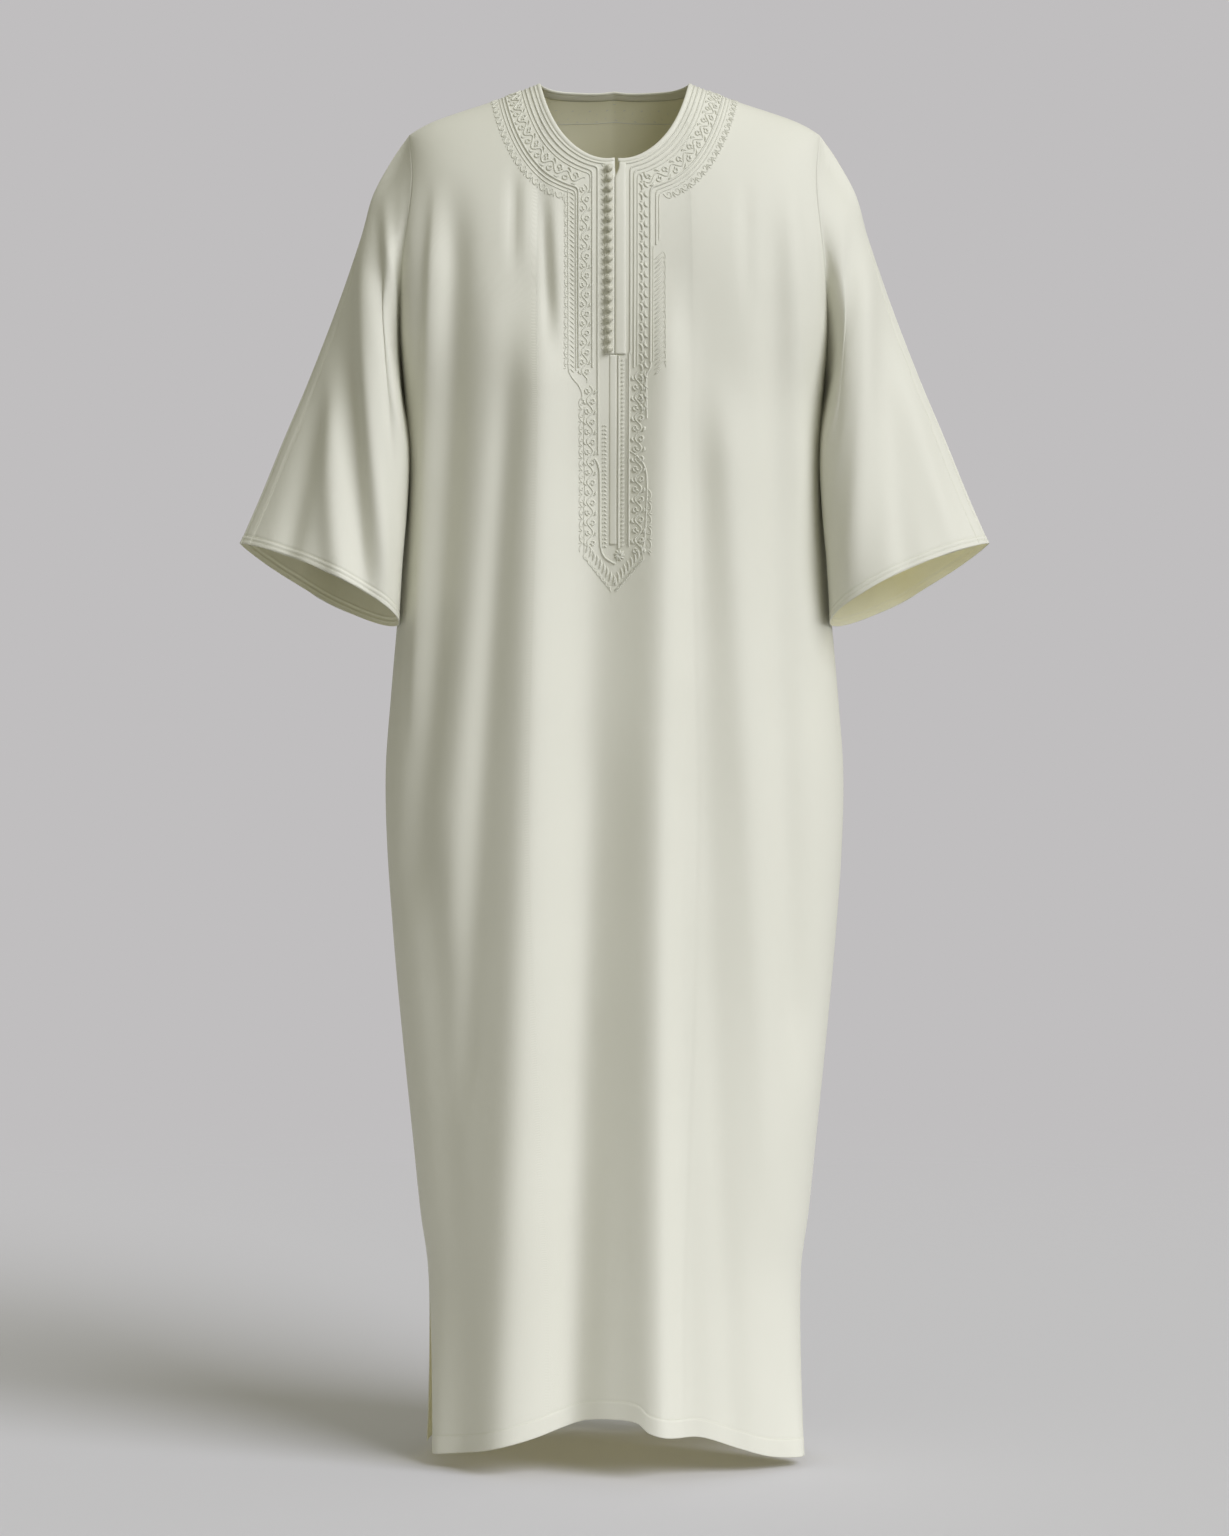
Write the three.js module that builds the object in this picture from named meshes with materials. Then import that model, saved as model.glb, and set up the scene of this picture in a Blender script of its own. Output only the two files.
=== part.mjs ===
// A man's long gandoura in ivory cloth, standing open as it hangs from the shoulders.
// Millimetres, +Z up, the front faces -Y. The origin is the middle of the neck opening,
// level with the shoulder line where it meets the neck.
import * as THREE from "three";

// Cloth and seams.
const WALL = 1.6;
const SEAM = 0.3;
const ARMHOLE_GAP = 0.8;
const TRIM_LIFT = 0.4;

// Levels, as heights above or below the origin.
const CHEST = -230;
const UNDERARM = -330;
const SLIT_TOP = -1241;
const PLACKET_END = -286;

// Neck opening: half width, and how far its edge lies in front of and behind the shoulder line, along the
// cloth.
const NECK = { half: 78, front: 152, back: 57 };
const SHOULDER_HALF = 214;
const SHOULDER_SQUARE = 3.4;
// The share of a column between the shoulder line and the underarm that curves over the chest.
const YOKE_SHARE = 0.75;
// How far the armholes cut into the front and back, as a share of the half girth.
const ARMHOLE_CUT = { front: 0.34, back: 0.3 };
// The front placket's slit: its left side and its width.
const SLIT = { x: 1.2, width: 1.4 };
// The length over which a fold comes and goes at each end.
const FOLD_FADE = 110;
// The side slits: how far the front's edges draw in and swing forward at the hem.
const SIDE_SLIT = { left: 12, right: 2, swing: 42, length: 190 };

// The share of a sleeve over which it turns from the body's direction to its own.
const LEAVE = 0.24;

// Grid steps of the cloth.
const STEPS = {
  yoke: 13,
  skirtFront: 17,
  skirtBack: 14,
  neckFront: 6,
  neckBack: 4,
  sideFront: 17,
  sideBack: 13,
  sleeve: 13,
};

const table = (columns, rows) => {
  const names = columns.split(" ");
  return rows.map((row) => Object.fromEntries(names.map((name, i) => [name, row[i]])));
};

// The shoulder line from the middle of the neck to the shoulder's tip. Inside the neck it isn't built.
const SHOULDER = table("x z", [
  [0, 24],
  [40, 16],
  [78, 0],
  [104, -10],
  [132, -20],
  [160, -29],
  [186, -38],
  [201, -45],
  [214, -53],
]);

// Level sections of the body: half width, depth in front and behind, and how square the outline is.
const BODY = table("z half front back square", [
  [60, 214, 112, 106, 3.4],
  [-60, 214, 114, 108, 3.4],
  [-150, 218, 118, 114, 3.4],
  [-250, 219, 121, 118, 3.3],
  [-330, 213, 123, 119, 3.0],
  [-400, 216, 125, 120, 2.8],
  [-470, 220, 128, 122, 2.6],
  [-560, 227, 132, 126, 2.5],
  [-640, 234, 137, 131, 2.4],
  [-716, 239.5, 140, 134, 2.35],
  [-800, 238, 142, 137, 2.3],
  [-900, 231, 143, 139, 2.3],
  [-1000, 222, 143, 140, 2.3],
  [-1100, 212, 142, 141, 2.3],
  [-1180, 204, 141, 142, 2.3],
  [-1241, 196, 140, 142, 2.3],
  [-1320, 195, 139, 143, 2.3],
  [-1440, 198, 138, 144, 2.3],
]);

// Height of the hem across the front and the back.
const HEM_FRONT = table("x z", [
  [-200, -1428],
  [-150, -1419],
  [-90, -1401],
  [-55, -1389],
  [-28, -1381],
  [0, -1378],
  [24, -1380],
  [34, -1389],
  [60, -1396],
  [90, -1398],
  [130, -1413],
  [165, -1426],
  [200, -1431],
]);
const HEM_BACK = table("x z", [
  [-200, -1426],
  [-110, -1420],
  [-40, -1414],
  [30, -1418],
  [110, -1416],
  [200, -1428],
]);

// Each fold is a long bump or hollow. Its line runs through three places, and left and right are the
// widths of its two flanks. rise is how far it stands out at its two ends.
const FOLD_COLUMNS = "zTop xTop zMid xMid zLow xLow left right riseTop riseLow";
const FRONT_FOLDS = table(FOLD_COLUMNS, [
  [-95, -188, -300, -195, -720, -212, 9, 12, 6, 4],
  [-90, -166, -352, -172, -900, -222, 16, 18, -9, -9],
  [-740, -196, -1080, -178, -1650, -145, 20, 22, -7, -5],
  [-170, -121, -455, -137, -950, -185, 17, 15, 6, 4],
  [-270, -100, -557, -124, -1100, -160, 14, 15, -5, -4],
  [-210, -74, -700, -82, -1650, -106, 30, 28, 17, 9],
  [-330, -14, -843, -25, -1650, -50, 28, 28, -7, -16],
  [-190, 56, -700, 48, -1650, 54, 28, 24, 12, 13],
  [-330, 85, -843, 98, -1650, 140, 18, 18, -3.5, -4],
  [-290, 110, -690, 134, -1200, 160, 18, 20, 6.5, 3],
  [-90, 163, -455, 167, -1060, 194, 18, 18, -5, -7],
  [-100, 180, -300, 188, -640, 206, 11, 10, 4, 2],
  [-84, -103, -140, -103, -215, -104, 6, 6, -4, -2],
  [-84, -92, -140, -92, -215, -93, 6, 8, 2, 1],
  [-92, -76, -190, -71, -300, -66, 6, 7, -4, -3],
  [-92, -63, -190, -59, -300, -52, 6, 8, 3, 3],
  [-90, 134, -150, 135, -260, 137, 7, 8, -2.5, -2],
]);
const BACK_FOLDS = table(FOLD_COLUMNS, [
  [-90, -184, -380, -190, -1000, -214, 12, 12, 6, 3],
  [-110, -160, -420, -166, -1200, -190, 16, 17, -8, -7],
  [-180, -120, -640, -126, -1650, -146, 22, 24, 7, 10],
  [-240, -78, -700, -84, -1650, -96, 22, 22, -6, -12],
  [-160, -38, -640, -40, -1650, -42, 22, 24, 6, 13],
  [-150, 8, -700, 4, -1650, -2, 24, 26, -5, -14],
  [-260, 52, -760, 50, -1650, 52, 22, 24, 7, 13],
  [-210, 94, -700, 98, -1650, 106, 20, 22, -6, -11],
  [-190, 134, -620, 142, -1650, 158, 20, 20, 6, 9],
  [-110, 164, -420, 172, -1200, 194, 14, 14, -8, -5],
  [-100, 186, -380, 192, -900, 212, 10, 10, 5, 3],
]);

// Rings down the right sleeve, from the armhole to the cuff: the outer and inner ends seen from the front,
// the depths in front of and behind the line between them, how far back each end lies, and how far the ring
// tips up in front. crease is how sharp the outer end is.
const SLEEVE = table("t outerX outerZ innerX innerZ front back outerY innerY tilt crease", [
  [0, 214, -53, 213, -330, 74, 66, 0, 0, 0, 0.5],
  [0.07, 232, -79, 218, -338, 76, 66, 0, -8, 0, 0.52],
  [0.16, 252, -116, 218, -354, 75, 66, -2, -18, 0.02, 0.55],
  [0.26, 264, -160, 217, -378, 72, 66, -5, -27, 0.05, 0.6],
  [0.4, 285, -223, 217.5, -411, 68, 66, -11, -36, 0.1, 0.66],
  [0.59, 317, -307, 220, -460, 64, 64, -20, -42, 0.17, 0.72],
  [0.74, 343.5, -370, 223, -500, 62, 60, -27, -46, 0.22, 0.77],
  [0.89, 369, -433, 227, -537, 61, 57, -34, -49, 0.26, 0.8],
  [1, 389, -479, 229, -562, 60, 54, -39, -51, 0.28, 0.8],
]);
const SLEEVE_FRONT_FOLDS = {
  right: table(FOLD_COLUMNS, [
    [-110, 250, -226, 240, -430, 217, 9, 9, -5, -6],
    [-140, 260, -309, 254, -560, 240, 12, 15, 6, 7],
    [-240, 276, -370, 288, -580, 308, 14, 15, -4, -4],
    [-250, 283, -351, 310, -540, 368, 14, 14, 4, 5],
  ]),
  left: table(FOLD_COLUMNS, [
    [-100, -240, -230, -229, -380, -221, 6, 6, 5, 3],
    [-110, -250, -250, -238, -440, -222, 6, 7, -6, -5],
    [-120, -257, -290, -254, -580, -229, 10, 11, 8, 7],
    [-230, -284, -351, -271.5, -590, -248, 13, 12, -8, -8],
    [-270, -285, -402, -291, -600, -268, 13, 13, 7, 7],
    [-290, -295, -400, -319, -560, -352, 13, 14, -6, -8],
  ]),
};
const SLEEVE_BACK_FOLDS = table(FOLD_COLUMNS, [
  [-110, 236, -230, 240, -400, 234, 8, 8, 6, 4],
  [-130, 252, -260, 254, -540, 262, 11, 12, -8, -7],
  [-180, 276, -340, 284, -580, 300, 14, 15, 7, 8],
  [-290, 300, -400, 316, -560, 336, 13, 13, -6, -7],
]);

// A smooth curve through one column of a table, read by another column.
function read(rows, by, column, at) {
  const last = rows.length - 1;
  const rising = rows[last][by] > rows[0][by];
  let i = 0;
  while (i < last - 1 && (rising ? at > rows[i + 1][by] : at < rows[i + 1][by])) i += 1;
  const slope = (k) => {
    const a = rows[Math.max(k - 1, 0)];
    const b = rows[Math.min(k + 1, last)];
    return (b[column] - a[column]) / (b[by] - a[by]);
  };
  const step = rows[i + 1][by] - rows[i][by];
  const s = THREE.MathUtils.clamp((at - rows[i][by]) / step, 0, 1);
  const [p, q] = [rows[i][column], rows[i + 1][column]];
  const [m, n] = [slope(i) * step, slope(i + 1) * step];
  return p + s * (m + s * (3 * (q - p) - 2 * m - n + s * (2 * (p - q) + m + n)));
}

const ease = (x, from, to) => THREE.MathUtils.smoothstep(x, from, to);

// The sum of a table's folds at a place seen from the front or the back.
function foldsAt(rows, x, z) {
  let sum = 0;
  for (const f of rows) {
    const length = f.zTop - f.zLow;
    const run = (f.zTop - z) / length;
    if (run <= 0 || run >= 1) continue;
    const middle = (f.zTop - f.zMid) / length;
    const bend = (f.xMid - f.xTop - (f.xLow - f.xTop) * middle) / (middle * (middle - 1));
    const line = f.xTop + (f.xLow - f.xTop) * run + bend * run * (run - 1);
    const off = x - line;
    const width = off < 0 ? f.left : f.right;
    const fade = Math.min(FOLD_FADE, 0.4 * length);
    const window = ease(f.zTop - z, 0, fade) * ease(z - f.zLow, 0, fade);
    sum += (f.riseTop + (f.riseLow - f.riseTop) * run) * window * Math.exp(-((off / width) ** 2));
  }
  return sum;
}

// The outline of a level section, as a share of its half width and of its depth.
function outline(a, square) {
  const angle = (a * Math.PI) / 2;
  const [s, c] = [Math.sin(angle), Math.cos(angle)];
  const k = (Math.abs(s) ** square + Math.abs(c) ** square) ** (-1 / square);
  return { across: s * k, deep: c * k };
}

// The share of the half girth at which the section's outline is x from the middle.
function shareAt(x, half, square) {
  const r = Math.min(1, Math.abs(x) / half);
  return (Math.sign(x) * 2 * Math.atan2(r, (1 - r ** square) ** (1 / square))) / Math.PI;
}

function ridgeAt(a) {
  const x = SHOULDER_HALF * outline(a, SHOULDER_SQUARE).across;
  return read(SHOULDER, "x", "z", Math.abs(x));
}

// The bare form of the front (face -1) or back (face 1). a runs from one side line, -1, to the other, 1.
// w is 0 on the shoulder line, 1 at the underarm's level and 2 at the hem.
function bareBody(face, a, w) {
  const ridge = ridgeAt(a);
  const turn = (Math.min(1, w / YOKE_SHARE) * Math.PI) / 2;
  let z = CHEST + (ridge - CHEST) * Math.cos(turn);
  if (w > YOKE_SHARE) z = CHEST + ((UNDERARM - CHEST) * (w - YOKE_SHARE)) / (1 - YOKE_SHARE);
  if (w > 1) {
    const hemX = outline(a, 2.3).across * 198;
    const hem = read(face < 0 ? HEM_FRONT : HEM_BACK, "x", "z", hemX);
    z = UNDERARM + (w - 1) * (hem - UNDERARM);
  }
  const depth = read(BODY, "z", face < 0 ? "front" : "back", z);
  const shape = outline(a, read(BODY, "z", "square", z));
  return new THREE.Vector3(
    read(BODY, "z", "half", z) * shape.across,
    face * depth * shape.deep * Math.sin(turn),
    z,
  );
}

function normalOf(surface, u, v, sign, step = 0.002) {
  const du = surface(u + step, v).sub(surface(u - step, v));
  const dv = surface(u, v + step).sub(surface(u, v - step));
  return du.cross(dv).multiplyScalar(sign).normalize();
}

// The body's cloth, folds and all, as the middle of its wall. Below the tops of the side slits the front's
// edges swing forward.
function body(face, a, w) {
  const p = bareBody(face, a, w);
  const still = ease(w, 0.02, 0.2) * (1 - ease(Math.abs(a), 0.9, 1));
  const rise = foldsAt(face < 0 ? FRONT_FOLDS : BACK_FOLDS, p.x, p.z) * still;
  const out = normalOf((u, v) => bareBody(face, u, v), a, w, face);
  const below = Math.max(0, SLIT_TOP - p.z) / SIDE_SLIT.length;
  if (face < 0) p.y -= SIDE_SLIT.swing * below ** 1.3 * ease(Math.abs(a), 0.55, 1);
  p.addScaledVector(out, rise);
  p.y += (face * SEAM) / 2;
  return p;
}
const bodyNormal = (face, a, w) => normalOf((u, v) => body(face, u, v), a, w, face);

// Where the armhole runs, as a share of the half girth.
function armholeShare(face, w) {
  const cut = face < 0 ? ARMHOLE_CUT.front : ARMHOLE_CUT.back;
  return 1 - cut * Math.sin(Math.PI * THREE.MathUtils.clamp(w, 0, 1)) ** 0.8;
}

// Goes down a column from the shoulder line by a length along the cloth, and gives w there.
function downFrom(face, a, length) {
  const step = 0.004;
  let [w, gone] = [0, 0];
  let here = bareBody(face, a, 0);
  while (gone < length) {
    const next = bareBody(face, a, w + step);
    gone += next.distanceTo(here);
    here = next;
    w += step;
  }
  return w - (step * (gone - length)) / Math.max(1e-6, here.distanceTo(bareBody(face, a, w - step)));
}

// Where a line that runs round the neck, a width outside the neck's edge, crosses the column at x.
function neckRing(face, x, width) {
  const half = NECK.half + width;
  const reach = (face < 0 ? NECK.front : NECK.back) + width;
  if (Math.abs(x) >= half) return 0;
  const a = shareAt(x, SHOULDER_HALF, SHOULDER_SQUARE);
  return downFrom(face, a, reach * (1 - (Math.abs(x) / half) ** 2.1) ** 0.52);
}

// A place on the front or back, seen from straight in front or behind.
function placeAt(x, z) {
  const a = shareAt(x, read(BODY, "z", "half", z), read(BODY, "z", "square", z));
  const ridge = ridgeAt(a);
  if (z >= CHEST) return { a, w: (YOKE_SHARE * 2 * Math.acos((z - CHEST) / (ridge - CHEST))) / Math.PI };
  if (z >= UNDERARM) return { a, w: YOKE_SHARE + ((1 - YOKE_SHARE) * (CHEST - z)) / (CHEST - UNDERARM) };
  return { a, w: 1 + (UNDERARM - z) / (UNDERARM - read(HEM_FRONT, "x", "z", x)) };
}

// Closes a grid of points into a wall between two offsets along its normals. skip names the open cells.
function wall(points, normals, inner, outer, skip = () => false) {
  const [columns, rows] = [points.length, points[0].length];
  const position = [];
  const index = [];
  const at = (i, j, side) => 2 * (i * rows + j) + side;
  for (let i = 0; i < columns; i += 1)
    for (let j = 0; j < rows; j += 1)
      for (const offset of [inner, outer])
        position.push(...points[i][j].clone().addScaledVector(normals[i][j], offset).toArray());
  const [ci, cj] = [columns >> 1, rows >> 1];
  const centre = points[ci][cj];
  const probe = points[ci + 1]?.[cj].clone().sub(centre) ?? centre.clone().sub(points[ci - 1][cj]);
  const turned = probe.cross(points[ci][cj + 1].clone().sub(centre)).dot(normals[ci][cj]) < 0;
  const face = (a, b, c) => index.push(...(turned ? [a, c, b] : [a, b, c]));
  const has = (i, j) => i >= 0 && j >= 0 && i < columns - 1 && j < rows - 1 && !skip(i, j);
  const rim = (i, j, k, l) => {
    face(at(i, j, 0), at(k, l, 0), at(k, l, 1));
    face(at(i, j, 0), at(k, l, 1), at(i, j, 1));
  };
  for (let i = 0; i < columns - 1; i += 1)
    for (let j = 0; j < rows - 1; j += 1) {
      if (!has(i, j)) continue;
      face(at(i, j, 1), at(i + 1, j, 1), at(i + 1, j + 1, 1));
      face(at(i, j, 1), at(i + 1, j + 1, 1), at(i, j + 1, 1));
      face(at(i, j, 0), at(i + 1, j + 1, 0), at(i + 1, j, 0));
      face(at(i, j, 0), at(i, j + 1, 0), at(i + 1, j + 1, 0));
      if (!has(i, j - 1)) rim(i, j, i + 1, j);
      if (!has(i, j + 1)) rim(i + 1, j + 1, i, j + 1);
      if (!has(i - 1, j)) rim(i, j + 1, i, j);
      if (!has(i + 1, j)) rim(i + 1, j, i + 1, j + 1);
    }
  const used = [...new Set(index)];
  const place = new Map(used.map((v, k) => [v, k]));
  const kept = used.flatMap((v) => position.slice(3 * v, 3 * v + 3));
  const geometry = new THREE.BufferGeometry();
  geometry.setAttribute("position", new THREE.Float32BufferAttribute(kept, 3));
  geometry.setIndex(index.map((v) => place.get(v)));
  geometry.computeVertexNormals();
  return geometry;
}

// Rows between the shoulder line and the underarm, which the sleeves share.
const yokeRow = (k) => 1 - (1 - k / STEPS.yoke) ** 1.3;

// The mitre between the body and a sleeve at the armhole, as an offset for each unit of wall.
function armholeMitre(side, face, w) {
  const onBody = bodyNormal(face, side * armholeShare(face, w), w);
  const onSleeve = sleeveNormal(side, face, w, 0.01);
  const half = onBody.clone().add(onSleeve);
  if (w <= 0 || w >= 1) half.y = 0;
  half.normalize();
  return half.multiplyScalar(Math.min(1.5, 1 / Math.max(0.2, half.dot(onBody))));
}

function panel(face, neckSteps, sideSteps, skirtSteps) {
  const shares = [];
  for (let k = 1; k <= neckSteps; k += 1) {
    const x = NECK.half * Math.sin((k / neckSteps) * (Math.PI / 2));
    shares.push(shareAt(x, SHOULDER_HALF, SHOULDER_SQUARE));
  }
  const neckShare = shares.at(-1);
  for (let k = 1; k <= sideSteps; k += 1) shares.push(neckShare + ((1 - neckShare) * k) / sideSteps);
  const slit = [SLIT.x, SLIT.x + SLIT.width].map((x) => shareAt(x, SHOULDER_HALF, SHOULDER_SQUARE));
  const middle = face < 0 ? slit : [0];
  const columns = [...shares.map((a) => -a).reverse(), ...middle, ...shares];
  const points = [];
  const normals = [];
  for (const u of columns) {
    const x = SHOULDER_HALF * outline(u, SHOULDER_SQUARE).across;
    const top = neckRing(face, x, 0);
    const line = [];
    const outs = [];
    for (let k = 0; k <= STEPS.yoke + skirtSteps; k += 1) {
      const yoke = k <= STEPS.yoke;
      let w = yoke ? top + (1 - top) * yokeRow(k) : 1 + (k - STEPS.yoke) / skirtSteps;
      const cut = yoke ? (1 - armholeShare(face, w)) * ease(Math.abs(u), 0.45, 1) : 0;
      let a = u - Math.sign(u) * cut;
      if (Math.abs(u) === 1 && yoke) a = u * armholeShare(face, w);
      const z = bareBody(face, a, w).z;
      if (face < 0 && z < SLIT_TOP) {
        const open = (u < 0 ? SIDE_SLIT.left : SIDE_SLIT.right) * ((SLIT_TOP - z) / SIDE_SLIT.length) ** 1.3;
        a -= (Math.sign(u) * open * ease(Math.abs(u), 0.7, 1)) / 290;
      }
      line.push(body(face, a, w));
      const seam = Math.abs(u) === 1 && yoke;
      outs.push(seam ? armholeMitre(Math.sign(u), face, w) : bodyNormal(face, a, w));
    }
    points.push(line);
    normals.push(outs);
  }
  const gap = shares.length;
  const skip = (i, j) => face < 0 && i === gap && points[i][j + 1].z > PLACKET_END - 1;
  return wall(points, normals, -WALL / 2, WALL / 2, skip);
}

// How far along a sleeve's ring each w lies, from its outer end, 0, to its inner end, 1.
function ringShare(side, face, w) {
  const tip = SHOULDER.at(-1).z;
  const { z } = bareBody(face, side * armholeShare(face, w), w);
  return THREE.MathUtils.clamp((tip - z) / (tip - UNDERARM), 0, 1);
}

function ring(side, face, w, t) {
  const at = (column) => read(SLEEVE, "t", column, t);
  const s = ringShare(side, face, w);
  const crease = at("crease");
  const widest = crease / (crease + 0.5);
  const swell = (s ** crease * (1 - s) ** 0.5) / (widest ** crease * (1 - widest) ** 0.5);
  const outer = new THREE.Vector2(at("outerX"), at("outerZ"));
  const along = new THREE.Vector2(at("innerX"), at("innerZ")).sub(outer);
  const deep = (face < 0 ? at("front") : at("back")) * swell;
  const up = new THREE.Vector2(along.y, -along.x).normalize().multiplyScalar(-face * at("tilt") * deep);
  const p = outer.clone().addScaledVector(along, s).add(up);
  const middle = at("outerY") + (at("innerY") - at("outerY")) * s;
  return new THREE.Vector3(side * p.x, middle + face * deep, p.y);
}

// The bare form of a sleeve's front or back half. w runs as on the armhole, and t from there to the cuff.
// Over the shoulder the sleeve sets off the way the body's cloth runs, so the seam lies smooth.
function bareSleeve(side, face, w, t) {
  if (w < 0) return bareSleeve(side, -face, -w, t);
  if (w > 1) return bareSleeve(side, -face, 2 - w, t);
  const edge = (v) => body(face, side * armholeShare(face, v), v);
  const seam = edge(w).sub(ring(side, face, w, 0));
  const p = ring(side, face, w, t).addScaledVector(seam, 1 - ease(t, 0, 0.35));
  const firm = ease(w, 0, 0.2) * (1 - ease(w, 0.5, 0.9));
  if (t >= LEAVE || firm === 0) return p;
  const a = side * armholeShare(face, w);
  const line = edge(Math.min(w + 0.01, 1)).sub(edge(Math.max(w - 0.01, 0))).normalize();
  const across = line.clone().cross(normalOf((u, v) => body(face, u, v), a, w, face)).normalize();
  if (across.dot(body(face, a + side * 0.01, w).sub(body(face, a, w))) < 0) across.negate();
  const setOff = ring(side, face, w, 0.01).sub(ring(side, face, w, 0)).multiplyScalar(100);
  setOff.addScaledVector(line, -setOff.dot(line));
  across.multiplyScalar(setOff.length()).sub(setOff);
  return p.addScaledVector(across, firm * t * (1 - t / LEAVE) ** 2);
}

function sleeve(side, face, w, t) {
  const p = bareSleeve(side, face, w, t);
  const out = normalOf((u, v) => bareSleeve(side, face, u, v), w, t, -face * side);
  const still = ease(t, 0, 0.12) * ease(w, 0, 0.16) * (1 - ease(w, 0.86, 1));
  const rows = side > 0 ? SLEEVE_FRONT_FOLDS.right : SLEEVE_FRONT_FOLDS.left;
  const rise = face < 0 ? foldsAt(rows, p.x, p.z) : foldsAt(SLEEVE_BACK_FOLDS, side * p.x, p.z);
  p.addScaledVector(out, rise * still);
  return p;
}
const sleeveNormal = (side, face, w, t) =>
  normalOf((u, v) => sleeve(side, face, u, v), w, Math.max(t, 0.004), -face * side);

function sleevePiece(side, face) {
  const points = [];
  const normals = [];
  for (let k = 0; k <= STEPS.yoke; k += 1) {
    const w = yokeRow(k);
    const line = [];
    const outs = [];
    for (let j = 0; j <= STEPS.sleeve; j += 1) {
      const t = (j / STEPS.sleeve) ** 1.15;
      const p = sleeve(side, face, w, t);
      if (j === 0) {
        const away = bareSleeve(side, face, w, 0.02).sub(p).normalize();
        p.addScaledVector(away, ARMHOLE_GAP);
      } else p.y += (face * SEAM) / 2;
      line.push(p);
      outs.push(j === 0 ? armholeMitre(side, face, w) : sleeveNormal(side, face, w, t));
    }
    points.push(line);
    normals.push(outs);
  }
  return wall(points, normals, -WALL / 2, WALL / 2);
}

const IVORY = new THREE.MeshStandardMaterial({ color: 0xdddccb, roughness: 0.62, metalness: 0 });
const THREAD = new THREE.MeshStandardMaterial({ color: 0xd2cfbc, roughness: 0.5, metalness: 0 });

const gandoura = new THREE.Group();
function add(name, geometry, material) {
  const mesh = new THREE.Mesh(geometry, material);
  mesh.name = name;
  gandoura.add(mesh);
  return mesh;
}

const front = add("front_panel", panel(-1, STEPS.neckFront, STEPS.sideFront, STEPS.skirtFront), IVORY);
const back = add("back_panel", panel(1, STEPS.neckBack, STEPS.sideBack, STEPS.skirtBack), IVORY);
for (const [side, hand] of [
  [1, "right"],
  [-1, "left"],
]) {
  add(`sleeve_front_${hand}`, sleevePiece(side, -1), IVORY);
  add(`sleeve_back_${hand}`, sleevePiece(side, 1), IVORY);
}

// Meets the built cloth from outside, so that what lies on it can be moved out from it.
const skins = [front, back].map((mesh) => {
  const { position } = mesh.geometry.attributes;
  const index = mesh.geometry.index.array;
  const corner = (k) => new THREE.Vector3().fromBufferAttribute(position, index[k]);
  const faces = [];
  for (let k = 0; k < index.length; k += 3) faces.push([corner(k), corner(k + 1), corner(k + 2)]);
  return faces;
});
function seat(point, out) {
  const start = point.clone().addScaledVector(out, 12);
  const ray = new THREE.Ray(start, out.clone().negate());
  let height = 0;
  let nearest = Infinity;
  const hit = new THREE.Vector3();
  for (const faces of skins)
    for (const [a, b, c] of faces) {
      if (Math.abs(a.z - point.z) > 130 || !ray.intersectTriangle(a, b, c, true, hit)) continue;
      const far = hit.distanceTo(start);
      if (far < nearest && far < 24) [nearest, height] = [far, 12 - far];
    }
  return height;
}

// A tape or cord laid on the cloth. stations give its two edges as places on the front or back.
// Each stretch is lifted clear of the highest facet under it.
function laid(stations, thick) {
  const edges = stations.map((pair) =>
    pair.map(({ face, a, w }) => ({ p: body(face, a, w), n: bodyNormal(face, a, w) })),
  );
  const mix = (from, to, f) => ({
    p: from.p.clone().lerp(to.p, f),
    n: from.n.clone().lerp(to.n, f).normalize(),
  });
  const stretches = edges.slice(1).map((next, j) => {
    let height = -Infinity;
    for (let f = 0; f < 1.01; f += 0.2)
      for (const g of [0, 0.5, 1]) {
        const { p, n } = mix(mix(edges[j][0], next[0], f), mix(edges[j][1], next[1], f), g);
        height = Math.max(height, seat(p, n));
      }
    return height;
  });
  const under = [[], []];
  const over = [[], []];
  edges.forEach((pair, j) => {
    const height = Math.max(stretches[j - 1] ?? -Infinity, stretches[j] ?? -Infinity) + TRIM_LIFT;
    pair.forEach(({ p, n }, k) => {
      under[k].push(p.clone().addScaledVector(n, height));
      over[k].push(p.clone().addScaledVector(n, height + thick));
    });
  });
  const middle = under.map((line, i) => line.map((p, j) => p.clone().lerp(over[i][j], 0.5)));
  const reach = under.map((line, i) => line.map((p, j) => over[i][j].clone().sub(p)));
  return wall(middle, reach, -0.5, 0.5);
}

// A straight tape down the front, a width to each side of x.
function tapeDown(x, width, from, to, steps) {
  const stations = [];
  for (let k = 0; k <= steps; k += 1) {
    const z = from + ((to - from) * k) / steps;
    stations.push([-1, 1].map((s) => ({ face: -1, ...placeAt(x + (s * width) / 2, z) })));
  }
  return stations;
}

// A band round the neck between two widths outside its edge, from x = from on the front, round the back,
// to x = to on the front.
function roundNeck(inner, outer, from, to, steps) {
  const edge = (width, q) => {
    const half = NECK.half + width;
    const [start, end] = [Math.asin(from / half), 2 * Math.PI + Math.asin(to / half)];
    const angle = start + q * (end - start);
    const x = half * Math.sin(angle);
    const face = Math.cos(angle) > 0 ? -1 : 1;
    return { face, a: shareAt(x, SHOULDER_HALF, SHOULDER_SQUARE), w: neckRing(face, x, width) };
  };
  return Array.from({ length: steps + 1 }, (_, k) => [edge(inner, k / steps), edge(outer, k / steps)]);
}

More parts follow.
